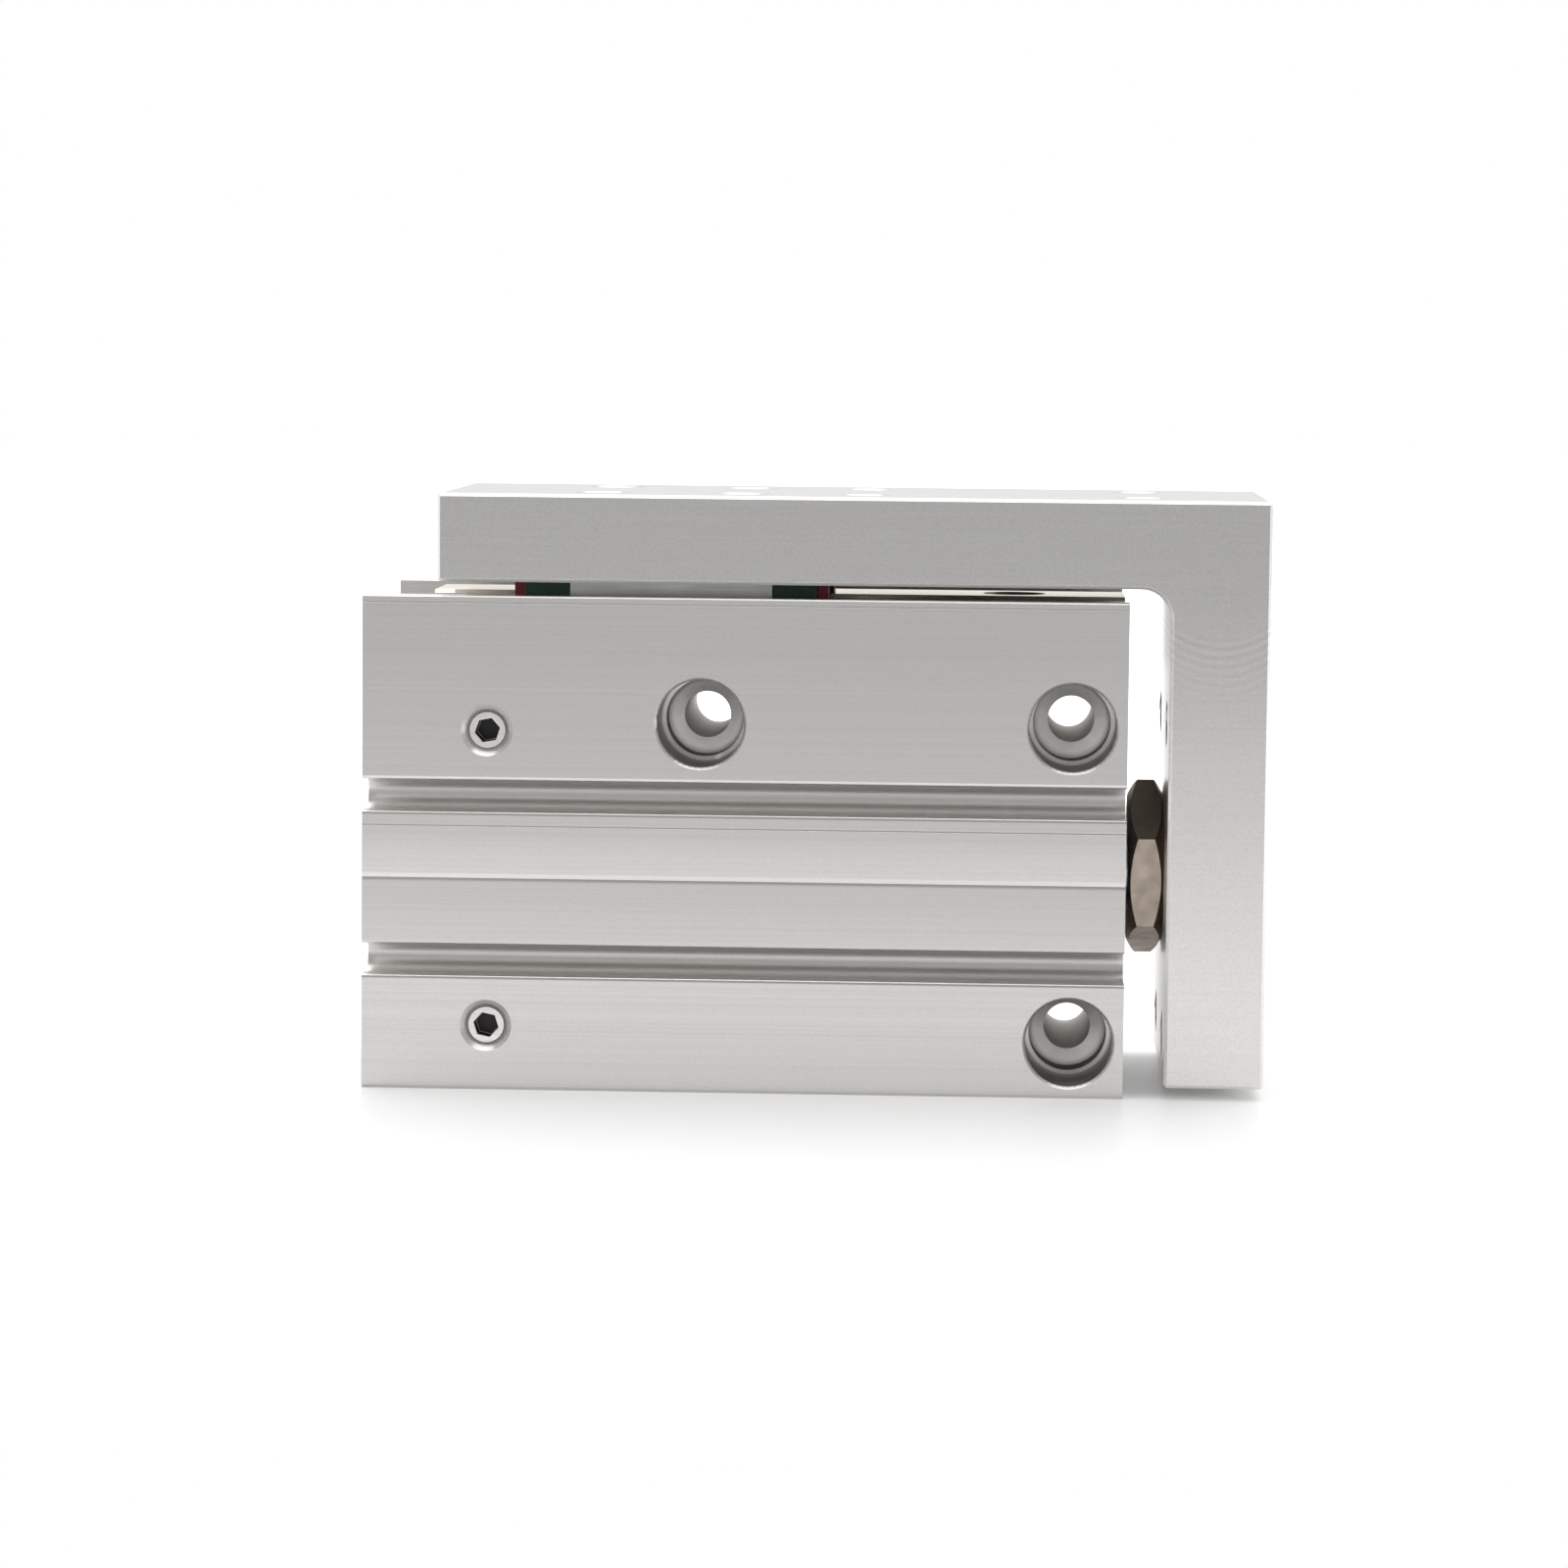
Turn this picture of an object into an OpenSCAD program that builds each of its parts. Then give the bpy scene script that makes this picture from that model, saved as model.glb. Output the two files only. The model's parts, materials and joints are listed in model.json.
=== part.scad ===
// Compact pneumatic slide table. An extruded body holds the air cylinder below and a
// miniature linear guide in a channel above it. The guide block carries an L-shaped
// table, and the piston rod pushes the table's end plate. X runs along the stroke,
// Z up; the origin lies under the middle of the retracted slide, on its base.

/* [Stroke and cylinder] */
// Travel of the table
stroke = 30; // [10:1:60]
// Cylinder bore
bore_d = 16; // [14:0.5:18]
// Piston rod diameter
rod_d = 8; // [6:0.5:9]
// Height of the bore axis above the base
axis_z = 23.4; // [21:0.1:25]
// Length of the two-part piston
piston_l = 16; // [14:0.5:24]
// Length of the rear cover in the bore
head_cover_l = 6.4; // [5.6:0.1:12]
// Length of the rod cover in the bore
rod_cover_l = 24.4; // [20:0.1:36]
// Length of the narrow inner nose of both covers
nose_l = 2.2; // [1.6:0.1:3]
// Radial step from the bore down to the nose of both covers
nose_step = 1.5; // [1:0.1:2]
// Radial running clearance of rod, piston and seals
running_gap = 0.03; // [0.01:0.01:0.08]
// Gap left at a bumper when the slide stands at its limit
stop_gap = 0.1; // [0.05:0.01:0.3]

/* [Cover fittings] */
// Thickness of the retaining clips
clip_t = 1; // [0.8:0.1:1.5]
// Depth of the clip grooves into the bore wall
clip_reach = 0.6; // [0.4:0.05:1]
// Width of land left between a clip groove and the end face
clip_inset = 1; // [0.6:0.1:2]
// Radial width of the retaining clips
clip_w = 1.9; // [1.5:0.1:2.2]
// Cord diameter of the cover o-rings
o_ring_d = 1.5; // [1:0.1:1.8]
// Thickness of the rubber bumpers
bumper_t = 1.5; // [1.2:0.1:2]
// Height of the bumpers proud of their covers
bumper_proud = 0.7; // [0.4:0.1:1]
// Outer diameter of the rear bumper
rear_bumper_d = 8; // [5:0.5:10]
// Wall thickness of the rod bush
bush_wall = 1; // [0.6:0.1:1.5]
// Length of the rod bush
bush_l = 12; // [8:0.5:14]
// Radial depth of the rod seal groove
rod_seal_wall = 1.8; // [1.4:0.1:2]
// Length of the rod seal
rod_seal_l = 3; // [2:0.1:4]
// Radial width of the front bumper ring
front_bumper_w = 1.4; // [1:0.1:1.6]

/* [Piston] */
// Diameter of the rod spigot that carries the piston
spigot_d = 5; // [4:0.25:5.5]
// Thickness of the riveted spigot head
rivet_t = 1.2; // [0.8:0.1:2]
// Radial height of the riveted spigot head
rivet_reach = 0.8; // [0.5:0.1:1.2]
// Length of the magnet ring
magnet_l = 3; // [2:0.5:4]
// Radial thickness of the magnet ring
magnet_w = 2; // [1.5:0.1:2.5]
// Length of the piston seal
piston_seal_l = 2.6; // [2:0.1:3]
// Radial thickness of the piston seal
piston_seal_w = 1.8; // [1.4:0.1:2.2]
// Length of the wear ring
wear_ring_l = 3.4; // [2:0.1:4]
// Radial thickness of the wear ring
wear_ring_w = 0.9; // [0.6:0.1:1.4]
// Radial gap of the bare piston in the bore
piston_gap = 0.1; // [0.08:0.01:0.2]
// Land between neighbouring piston grooves
piston_land = 1.3; // [1:0.1:1.8]

/* [Body] */
// Width of the body and of the table
body_w = 38; // [36:0.5:46]
// Height of the body
body_h = 53.5; // [50:0.5:60]
// Thickness of the channel walls
wall_t = 3; // [2:0.1:4]
// Chamfer along the lower edges of the extrusion and round its bore
edge_c = 0.4; // [0.2:0.05:0.8]
// Chamfer along the tops of the channel walls
top_c = 0.15; // [0.1:0.05:0.4]
// Height midway between the two switch grooves of a side
groove_mid_z = 23; // [22:0.1:24.5]
// Distance between the two switch grooves of a side
groove_pitch = 17.8; // [16:0.1:20]
// Width of the groove mouth
groove_mouth = 3.3; // [2.8:0.1:4]
// Diameter of the round inside of the groove
groove_d = 4.4; // [4.2:0.1:5]
// Depth of the grooves
groove_depth = 6; // [5:0.1:7]
// Rounding of the groove lips
lip_r = 0.45; // [0.2:0.05:0.6]
// Depth of the lower panel between the grooves
panel_in = 0.05; // [0.02:0.01:0.2]
// Depth of the step between the two panels
step_in = 0.2; // [0.1:0.05:0.4]
// Height of the step's upper slope
step_upper = 0.6; // [0.3:0.1:1]
// Height of the step's lower slope
step_lower = 0.4; // [0.2:0.1:0.8]
// Depth of the fine lines along the sides
line_in = 0.09; // [0.03:0.01:0.15]
// Height of the fine line below the upper groove's mouth
line_drop = 1.6; // [1:0.1:3]
// Height of the fine line below the top of the sides
top_line_drop = 0.75; // [0.6:0.05:2]

/* [Mounting holes] */
// Distance along the body between the two upper side holes
side_pitch = 40; // [30:0.5:44]
// Distance from the front side holes to the body's front end
side_end = 5.9; // [5.5:0.1:8]
// Height of the lower side hole
side_low_z = 6; // [5.6:0.1:8]
// Diameter of the side through holes
side_d = 5.1; // [4.5:0.1:5.5]
// Diameter of the wide part of the side counterbores
side_head_d = 9.4; // [9:0.1:10]
// Depth of the wide part of the side counterbores
side_head_depth = 9.5; // [5:0.1:11]
// Diameter of the narrower part of the counterbores
side_tap_d = 8.5; // [7:0.1:8.8]
// Depth of the narrower part from the side face
side_tap_depth = 13.5; // [12:0.1:17]
// Wall left between the upper counterbores and the channel floor
side_roof = 0.6; // [0.4:0.1:1.5]
// Chamfer round the counterbores
side_c = 0.3; // [0.1:0.05:0.6]
// Distance along the body between the threads in the base
base_pitch_x = 40; // [30:1:42]
// Distance across the body between the threads in the base
base_pitch_y = 24; // [20:1:26]
// Distance from the rear end to the first base threads
base_rear = 22; // [20:0.5:30]
// Diameter of the base threads
base_d = 5; // [4:0.5:5]
// Depth of the base threads
base_depth = 8; // [6:0.5:8]

/* [Air ports] */
// Diameter of the port threads
port_d = 5; // [4:0.5:5]
// Difference between the outer and the inner diameter of the port threads
port_thread = 0.8; // [0.5:0.1:1]
// Chamfer round the side ports
port_c = 0.7; // [0.2:0.1:1]
// Distance of the side ports from the rear end
port_x = 13.5; // [12:0.5:15]
// Height of the lower ports
port_low_z = 7; // [5:0.5:8]
// Height of the upper ports
port_high_z = 39; // [36:0.5:40]
// Depth of the port threads
port_depth = 6.5; // [5:0.5:7]
// Diameter of the air passages
air_d = 1.8; // [1:0.1:1.9]
// Depth of a plug's face below the side of the body
plug_sunk = 0.6; // [0.1:0.05:0.8]
// Length of the port plugs
plug_l = 4; // [3:0.5:5]
// Width across flats of the plugs' sockets
plug_socket = 2.4; // [2:0.1:2.5]
// Turn of the upper plug's socket
upper_plug_turn = -11; // [-30:1:30]
// Turn of the lower plug's socket
lower_plug_turn = 12; // [-30:1:30]
// Diameter of the balls that close the cross drillings
passage_ball_d = 3; // [2.5:0.1:3.5]

/* [Guide] */
// Width of the rail
rail_w = 12; // [11:0.5:14]
// Height of the rail
rail_h = 8.2; // [7.5:0.1:9]
// Depth of the rail's top below the channel walls
rail_drop = 0; // [0:0.1:1]
// Distance from the body's rear end to the rail
rail_rear = 6.4; // [4:0.1:8]
// Distance from the rail to the body's front end
rail_front = 0.2; // [0:0.1:2]
// Pitch of the rail holes
rail_pitch = 25; // [20:0.5:26]
// Distance of the first hole from the rail's front end
rail_hole_end = 12.1; // [10:0.1:13]
// Diameter of the counterbores in the rail
rail_head_d = 6.5; // [6.2:0.1:7]
// Depth of the counterbores in the rail
rail_head_depth = 4.5; // [4:0.1:5]
// Chamfer along the rail
rail_c = 0.4; // [0.2:0.1:0.8]
// Thread diameter of the rail and block screws
screw_d = 3; // [2.5:0.1:3.2]
// Play of the screws in their clearance holes, on the diameter
screw_play = 0.5; // [0.2:0.1:0.6]
// Depth of the rail screws in the body
rail_screw_grip = 5.5; // [4:0.5:5.5]
// Width of the guide block
block_w = 27; // [25:0.5:28]
// Height of the guide block
block_h = 10; // [9.5:0.1:11]
// Height of the block's underside above the rail's base
block_lift = 3; // [2.5:0.1:3.5]
// Length of the steel part of the block
block_l = 21.9; // [20:0.1:26]
// Length of each end cap
cap_l = 4.9; // [4:0.1:5.5]
// Length of each end seal
seal_l = 1.15; // [0.8:0.05:2]
// Distance from the guide block to the rail's end at full travel
block_margin = 2.3; // [0.5:0.1:4]
// Gap between block and rail
block_gap = 0.3; // [0.2:0.05:0.5]
// Amount by which the end caps are smaller than the block, all round
cap_in = 0.2; // [0.1:0.1:0.6]
// Diameter of the guide balls
ball_d = 2.4; // [2:0.1:2.6]
// Height of the ball tracks above the rail's base
ball_z = 5; // [4.6:0.1:5.4]
// Distance from a loaded ball row to its return row
ball_return = 3.6; // [3.2:0.1:4]
// Distance of the seal screws from the middle
seal_screw_y = 9; // [8:0.5:11]
// Diameter of the seal screws
seal_screw_d = 1.6; // [1.2:0.1:2]
// Distance of the seal screws below the block's top
seal_screw_drop = 3.4; // [3:0.1:3.8]

/* [Table] */
// Distance from the body's rear end to the table's rear end
table_rear = 8; // [4:0.1:12]
// Gap between the channel walls and the table
table_gap = 1.5; // [0.8:0.1:2]
// Thickness of the table
table_t = 9.5; // [9:0.1:12]
// Side clearance of the block in the table's recess
recess_gap = 0.5; // [0.2:0.1:1]
// Distance from the end plate to the end of the recess
recess_stop = 4; // [3.8:0.1:8]
// Chamfer along the table's edges
table_c = 0.35; // [0.3:0.05:1]
// Thickness of the end plate
plate_t = 10.7; // [10:0.1:14]
// Gap between the body's front end and the end plate
plate_gap = 4.4; // [4.2:0.1:6]
// Height of the end plate above the base
plate_lift = 1.3; // [0.5:0.1:2]
// Fillet between table and end plate
corner_r = 3.2; // [1.5:0.1:3.5]
// Distance along the block between its screws
block_pitch_x = 15; // [12:0.5:16]
// Distance across the block between its screws
block_pitch_y = 20; // [18:0.5:21]
// Diameter of the screw heads' counterbores in the table
table_head_d = 6; // [5.8:0.1:6.5]
// Depth of the screw heads' counterbores in the table
table_head_depth = 3.5; // [3.2:0.1:4]
// Diameter of the workpiece threads
work_d = 5; // [4:0.5:5]
// Depth of the workpiece threads in the table
work_depth = 8; // [6:0.5:8]
// Distance along the table between the workpiece threads
work_pitch_x = 30; // [25:0.5:32]
// Distance across the table and the plate between the workpiece threads
work_pitch_y = 20; // [18:0.5:26]
// Distance from the end plate's outer face to the first threads in the table
work_end = 13.8; // [12:0.1:16]
// Height between the threads in the end plate
work_pitch_z = 34; // [30:0.5:40]
// Height of the lower threads in the end plate
work_low_z = 6; // [5:0.5:9]

/* [Rod joint] */
// Width across flats of the hexagonal rod nut
nut_flats = 17; // [12:0.5:19]
// Thickness of the rod nut
nut_t = 3.85; // [3:0.05:4]
// Turn of the nut about the rod
nut_turn = 7; // [0:1:59]
// Thread diameter of the rod end screw
rod_screw_d = 5; // [4:0.5:5]
// Depth of the rod end screw in the rod
rod_screw_grip = 9; // [6:0.5:12]
// Diameter of the counterbore in the end plate
rod_head_d = 11; // [10.5:0.1:13]
// Depth of the counterbore in the end plate
rod_head_depth = 6.6; // [6.3:0.1:7]
// Thickness of the washer under the rod end screw
washer_t = 1; // [0.5:0.1:1.2]

/* [Hidden] */
$fn = 64;
over = 1;                    // run-out of cuts past a face

// Lengths along the cylinder, added up from the rear end
clip_room = clip_inset + clip_t;
end_gap = bumper_proud + stop_gap;
body_l = 2 * clip_room + head_cover_l + 2 * end_gap + piston_l + stroke + rod_cover_l;
overall_l = body_l + plate_gap + plate_t;
rear_x = -overall_l / 2;
front_x = rear_x + body_l;
head_x = rear_x + clip_room;
piston_x = head_x + head_cover_l + end_gap;
rod_cover_x = front_x - clip_room - rod_cover_l;
plate_x = front_x + plate_gap;
plate_out_x = plate_x + plate_t;

// Heights
channel_w = body_w - 2 * wall_t;
rail_z = body_h - rail_drop - rail_h;
rail_top_z = rail_z + rail_h;
block_z = rail_z + block_lift;
block_top_z = block_z + block_h;
table_z = body_h + table_gap;
table_top_z = table_z + table_t;
track_z = rail_z + ball_z;

// Guide, set so that the block stays on the rail at full travel
rail_x = rear_x + rail_rear;
rail_end_x = front_x - rail_front;
rail_l = rail_end_x - rail_x;
rail_first_x = rail_end_x - rail_hole_end;
rail_holes = floor((rail_l - 2 * screw_d - rail_hole_end) / rail_pitch) + 1;
runner_l = block_l + 2 * (cap_l + seal_l);
runner_x = rail_end_x - stroke - block_margin - runner_l;
block_x = runner_x + seal_l + cap_l;
block_mid_x = block_x + block_l / 2;
track_y = rail_w / 2 + block_gap / 2;
track_d = ball_d + 2 * running_gap;
slot_w = rail_w + 2 * block_gap;
slot_top_z = rail_top_z + block_gap;
block_screw_grip = 3.5;      // depth of the table's screws in the block
seal_head_d = 2 * seal_screw_d - block_gap;
seal_screw_grip = (block_l - block_pitch_x - screw_d) / 2 - block_gap;

// Table
table_x = rear_x + table_rear;
recess_w = block_w + 2 * recess_gap;

// Screws: head diameter, head height and socket of a socket head screw of size d
function head_d(d) = 1.65 * d + 0.55;
function head_h(d) = d;
function socket_w(d) = 0.8 * d + 0.1;
function flats(w) = w / cos(30);

// Side holes and ports
side_x = front_x - side_end;
side_top_z = rail_z - side_head_d / 2 - side_roof;
side_spots = [[side_x - side_pitch, side_top_z], [side_x, side_top_z], [side_x, side_low_z]];
thread_c = 0.2;              // widening of a thread's mouth, on the radius
groove_z = [groove_mid_z - groove_pitch / 2, groove_mid_z + groove_pitch / 2];
rear_air_x = head_x + head_cover_l - nose_l / 2;
front_air_x = rod_cover_x + nose_l / 2;

// Rod cover
front_bumper_in = rod_d + 2 * block_gap;
front_bumper_out = front_bumper_in + 2 * front_bumper_w;
seal_d = rod_d + 2 * running_gap + 2 * rod_seal_wall;
bush_d = rod_d + 2 * running_gap + 2 * bush_wall;
rod_seal_x = front_x - clip_room - edge_c - rod_seal_l;
bush_x = rod_cover_x + bumper_t + piston_land;

// Piston grooves, from its rear face
seal_at = piston_x + rivet_t + piston_land;
magnet_at = seal_at + piston_seal_l + piston_land;
wear_at = magnet_at + magnet_l + piston_land;
piston_d = bore_d - 2 * piston_gap;

aluminium = [0.82, 0.82, 0.81];
table_grey = [0.70, 0.70, 0.71];
steel = [0.62, 0.62, 0.64];
dark_steel = [0.28, 0.28, 0.30];
rubber = [0.12, 0.12, 0.13];
cap_green = [0.12, 0.30, 0.20];
seal_red = [0.60, 0.10, 0.16];

// ---- Helpers ---------------------------------------------------------------

// A cylinder along +X from x
module rod_x(x, d, l, y = 0, z = axis_z) {
    translate([x, y, z]) rotate([0, 90, 0]) cylinder(d = d, h = l);
}

// A cone along +X from x
module cone_x(x, d1, d2, l, y = 0, z = axis_z) {
    translate([x, y, z]) rotate([0, 90, 0]) cylinder(d1 = d1, d2 = d2, h = l);
}

// A profile in Y and Z, drawn out along +X from x
module extrude_x(x, l) {
    translate([x, 0, 0]) rotate([90, 0, 90]) linear_extrude(l) children();
}

// A profile of radius and distance, turned about the bore axis
module turn_x(x) {
    translate([x, 0, axis_z]) rotate([0, 90, 0]) rotate_extrude() children();
}

// A ring about the bore axis
module ring_x(x, d_out, d_in, l) {
    turn_x(x) translate([d_in / 2, 0]) square([(d_out - d_in) / 2, l]);
}

// A thread hole down from z, with a chamfered mouth
module thread_down(x, y, z, d, depth) {
    translate([x, y, z - depth]) cylinder(d = d, h = depth + over);
    translate([x, y, z - thread_c]) cylinder(d1 = d, d2 = d + 2 * (thread_c + over), h = thread_c + over);
}

// Copies at plus and minus y
module both_sides() {
    children();
    mirror([0, 1, 0]) children();
}

// A socket head screw with its seat at z = 0 and its head above
module cap_screw(d, grip) {
    difference() {
        union() {
            cylinder(d = head_d(d), h = 0.85 * head_h(d));
            translate([0, 0, 0.85 * head_h(d)])
                cylinder(d1 = head_d(d), d2 = 0.9 * head_d(d), h = 0.15 * head_h(d));
            translate([0, 0, -grip]) cylinder(d = d, h = grip);
        }
        translate([0, 0, head_h(d) / 2])
            cylinder(d = flats(socket_w(d)), h = head_h(d), $fn = 6);
    }
}

// Closed outline from its right half, mirrored in the middle plane
module mirrored_outline(half) {
    polygon(concat(half, [for (i = [len(half) - 1:-1:0]) [-half[i][0], half[i][1]]]));
}

// ---- Body ------------------------------------------------------------------

// A fine line in the side of the extrusion, upwards
function fine_line(z) =
    [[body_w / 2, z - line_in], [body_w / 2 - line_in, z], [body_w / 2, z + line_in]];

// Right half of the extrusion, from the base up round the channel
function body_half() = [
    [body_w / 2 - edge_c, 0],
    [body_w / 2, edge_c],
    [body_w / 2, groove_z[0]],
    [body_w / 2 - panel_in, groove_z[0]],
    [body_w / 2 - panel_in, groove_mid_z - step_lower],
    [body_w / 2 - step_in, groove_mid_z],
    [body_w / 2, groove_mid_z + step_upper],
    each fine_line(groove_z[1] - groove_mouth / 2 - line_drop),
    each fine_line(body_h - top_line_drop),
    [body_w / 2, body_h - top_c],
    [body_w / 2 - top_c, body_h],
    [channel_w / 2 + top_c, body_h],
    [channel_w / 2, body_h - top_c],
    [channel_w / 2, rail_z]];

// Section of a switch groove: a mouth with round lips over a round inside
module groove_section(z) {
    translate([body_w / 2, z]) {
        translate([-groove_depth + groove_d / 2, 0]) circle(d = groove_d);
        translate([-groove_depth + groove_d / 2, -groove_mouth / 2])
            square([groove_depth, groove_mouth]);
        difference() {
            translate([-lip_r, -groove_mouth / 2 - lip_r])
                square([lip_r + over, groove_mouth + 2 * lip_r]);
            for (s = [-1, 1]) translate([-lip_r, s * (groove_mouth / 2 + lip_r)]) circle(r = lip_r);
        }
    }
}

// A side mounting hole, counterbored from the near side and drilled through to the far one
module side_hole(x, z) {
    point = (side_tap_d - side_d) / 2 / tan(59);
    translate([x, 0, z]) rotate([-90, 0, 0]) cylinder(d = side_d, h = body_w + 2 * over, center = true);
    translate([x, -body_w / 2, z]) rotate([-90, 0, 0]) {
        translate([0, 0, -over]) cylinder(d = side_head_d, h = side_head_depth + over);
        cylinder(d = side_tap_d, h = side_tap_depth);
        translate([0, 0, side_tap_depth]) cylinder(d1 = side_tap_d, d2 = side_d, h = point);
        mouth(side_head_d, side_c);
    }
    translate([x, body_w / 2, z]) rotate([90, 0, 0]) mouth(side_d, side_c);
}

// The chamfered mouth of a hole of diameter d that runs along +Z from the face
module mouth(d, c) {
    translate([0, 0, -over]) cylinder(d1 = d + 2 * (c + over), d2 = d, h = c + over);
}

// Side and rear ports at one height, with the passage that joins them
module port_holes(z, passage_end) {
    translate([rear_x + port_x, -body_w / 2, z]) rotate([-90, 0, 0]) {
        translate([0, 0, -over]) cylinder(d = port_d - port_thread, h = port_depth + over);
        mouth(port_d - port_thread, port_c);
        cylinder(d = air_d, h = body_w / 2);
    }
    rod_x(rear_x - over, port_d, port_depth + over, z = z);
    cone_x(rear_x - over, port_d + 2 * (thread_c + over), port_d, thread_c + over, z = z);
    rod_x(rear_x, air_d, passage_end - rear_x, z = z);
}

// Cross drilling from the face at z_open to the bore, wider where its ball sits
module cross_drilling(x, z_open) {
    reach = abs(axis_z - z_open) - bore_d / 2 + over;
    translate([x, 0, z_open]) rotate([z_open > axis_z ? 180 : 0, 0, 0]) {
        cylinder(d = air_d, h = reach);
        translate([0, 0, -over]) cylinder(d = passage_ball_d, h = passage_ball_d + over);
    }
}

module cylinder_body() {
    color(aluminium) difference() {
        extrude_x(rear_x, body_l) mirrored_outline(body_half());
        for (z = groove_z) both_sides()
            extrude_x(rear_x - over, body_l + 2 * over) groove_section(z);
        rod_x(rear_x - over, bore_d, body_l + 2 * over);
        for (x = [rear_x + clip_inset, front_x - clip_room])
            rod_x(x, bore_d + 2 * clip_reach, clip_t);
        cone_x(rear_x - over, bore_d + 2 * (edge_c + over), bore_d, edge_c + over);
        cone_x(front_x - edge_c, bore_d, bore_d + 2 * (edge_c + over), edge_c + over);
        for (spot = side_spots) side_hole(spot[0], spot[1]);
        port_holes(port_high_z, rear_x + port_x);
        port_holes(port_low_z, front_air_x);
        cross_drilling(rear_air_x, rail_z);
        cross_drilling(front_air_x, 0);
        for (i = [0:rail_holes - 1])
            thread_down(rail_first_x - i * rail_pitch, 0, rail_z, screw_d, rail_screw_grip + screw_d / 2);
        for (x = [0, base_pitch_x]) both_sides()
            mirror([0, 0, 1]) thread_down(rear_x + base_rear + x, base_pitch_y / 2, 0, base_d, base_depth);
    }
}

// A screw plug with a hexagonal socket, drawn to the inner diameter of the thread
module port_plug(z, turn) {
    d = port_d - port_thread;
    chamfer = thread_c / 2;
    color(dark_steel) translate([rear_x + port_x, plug_sunk - body_w / 2, z])
        rotate([-90, 0, 0]) difference() {
        union() {
            cylinder(d1 = d - 2 * chamfer, d2 = d, h = chamfer);
            translate([0, 0, chamfer]) cylinder(d = d, h = plug_l - chamfer);
        }
        translate([0, 0, -over]) rotate(turn)
            cylinder(d = flats(plug_socket), h = plug_l / 2 + over, $fn = 6);
    }
}

module upper_port_plug() {
    port_plug(port_high_z, upper_plug_turn);
}

module lower_port_plug() {
    port_plug(port_low_z, lower_plug_turn);
}

module passage_balls() {
    sunk = passage_ball_d / 2 + stop_gap;
    color(steel) {
        translate([rear_air_x, 0, rail_z - sunk]) sphere(d = passage_ball_d);
        translate([front_air_x, 0, sunk]) sphere(d = passage_ball_d);
    }
}

// ---- Covers of the bore ----------------------------------------------------

// A cover turned to fit the bore, with its nose towards +X
module cover_blank(l) {
    o_groove = l - nose_l - o_ring_d - 2 * edge_c;
    turn_x(0) difference() {
        polygon([
            [0, 0], [bore_d / 2, 0], [bore_d / 2, l - nose_l],
            [bore_d / 2 - nose_step, l - nose_l], [bore_d / 2 - nose_step, l], [0, l]]);
        translate([bore_d / 2 - o_ring_d, o_groove]) square([o_ring_d + over, o_ring_d]);
    }
}

// An o-ring in the groove of a cover
module cover_o_ring(l) {
    turn_x(0)
        translate([(bore_d - o_ring_d) / 2, l - nose_l - o_ring_d / 2 - 2 * edge_c])
            circle(d = o_ring_d, $fn = 32);
}

// An open retaining clip with an eye at each end
module clip(x) {
    eye_d = clip_w * 1.25;
    turn = 16;
    mid = (bore_d + 2 * clip_reach - eye_d) / 2;
    extrude_x(x, clip_t) translate([0, axis_z]) difference() {
        union() {
            difference() {
                circle(d = bore_d + 2 * clip_reach);
                circle(d = bore_d + 2 * clip_reach - 2 * clip_w);
                polygon([[0, 0], bore_d * [sin(turn), -cos(turn)], bore_d * [-sin(turn), -cos(turn)]]);
            }
            for (s = [-1, 1]) rotate(s * turn) translate([0, -mid]) circle(d = eye_d);
        }
        for (s = [-1, 1]) rotate(s * turn) translate([0, -mid]) circle(d = clip_w / 2);
    }
}

module head_cover() {
    color(aluminium) difference() {
        translate([head_x, 0, 0]) cover_blank(head_cover_l);
        rod_x(head_x + head_cover_l + bumper_proud - bumper_t, rear_bumper_d, bumper_t);
    }
}

module head_cover_o_ring() {
    color(rubber) translate([head_x, 0, 0]) cover_o_ring(head_cover_l);
}

module head_cover_clip() {
    color(dark_steel) clip(rear_x + clip_inset);
}

module rear_bumper() {
    color(rubber) rod_x(head_x + head_cover_l + bumper_proud - bumper_t, rear_bumper_d, bumper_t);
}

module rod_cover() {
    color(aluminium) difference() {
        translate([rod_cover_x + rod_cover_l, 0, 0]) mirror([1, 0, 0]) cover_blank(rod_cover_l);
        rod_x(rod_cover_x - over, rod_d + 2 * block_gap, rod_cover_l + 2 * over);
        rod_x(rod_cover_x - over, front_bumper_out, bumper_t - bumper_proud + over);
        rod_x(bush_x, bush_d, bush_l);
        rod_x(rod_seal_x, seal_d, rod_seal_l);
    }
}

module rod_cover_o_ring() {
    color(rubber) translate([rod_cover_x + rod_cover_l, 0, 0]) mirror([1, 0, 0]) cover_o_ring(rod_cover_l);
}

module rod_cover_clip() {
    color(dark_steel) clip(front_x - clip_room);
}

module rod_bush() {
    color([0.72, 0.55, 0.32]) ring_x(bush_x, bush_d, rod_d + 2 * running_gap, bush_l);
}

// Lip seal, open towards the pressure side
module rod_seal() {
    inner = rod_d / 2 + running_gap;
    color(rubber) turn_x(rod_seal_x) polygon([
        [inner, 0], [inner + rod_seal_wall * 0.3, 0],
        [inner + rod_seal_wall / 2, rod_seal_l * 0.45], [inner + rod_seal_wall * 0.7, 0],
        [inner + rod_seal_wall, 0], [inner + rod_seal_wall, rod_seal_l], [inner, rod_seal_l]]);
}

module front_bumper() {
    color(rubber) ring_x(rod_cover_x - bumper_proud, front_bumper_out, front_bumper_in, bumper_t);
}

// ---- Guide rail ------------------------------------------------------------

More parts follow.
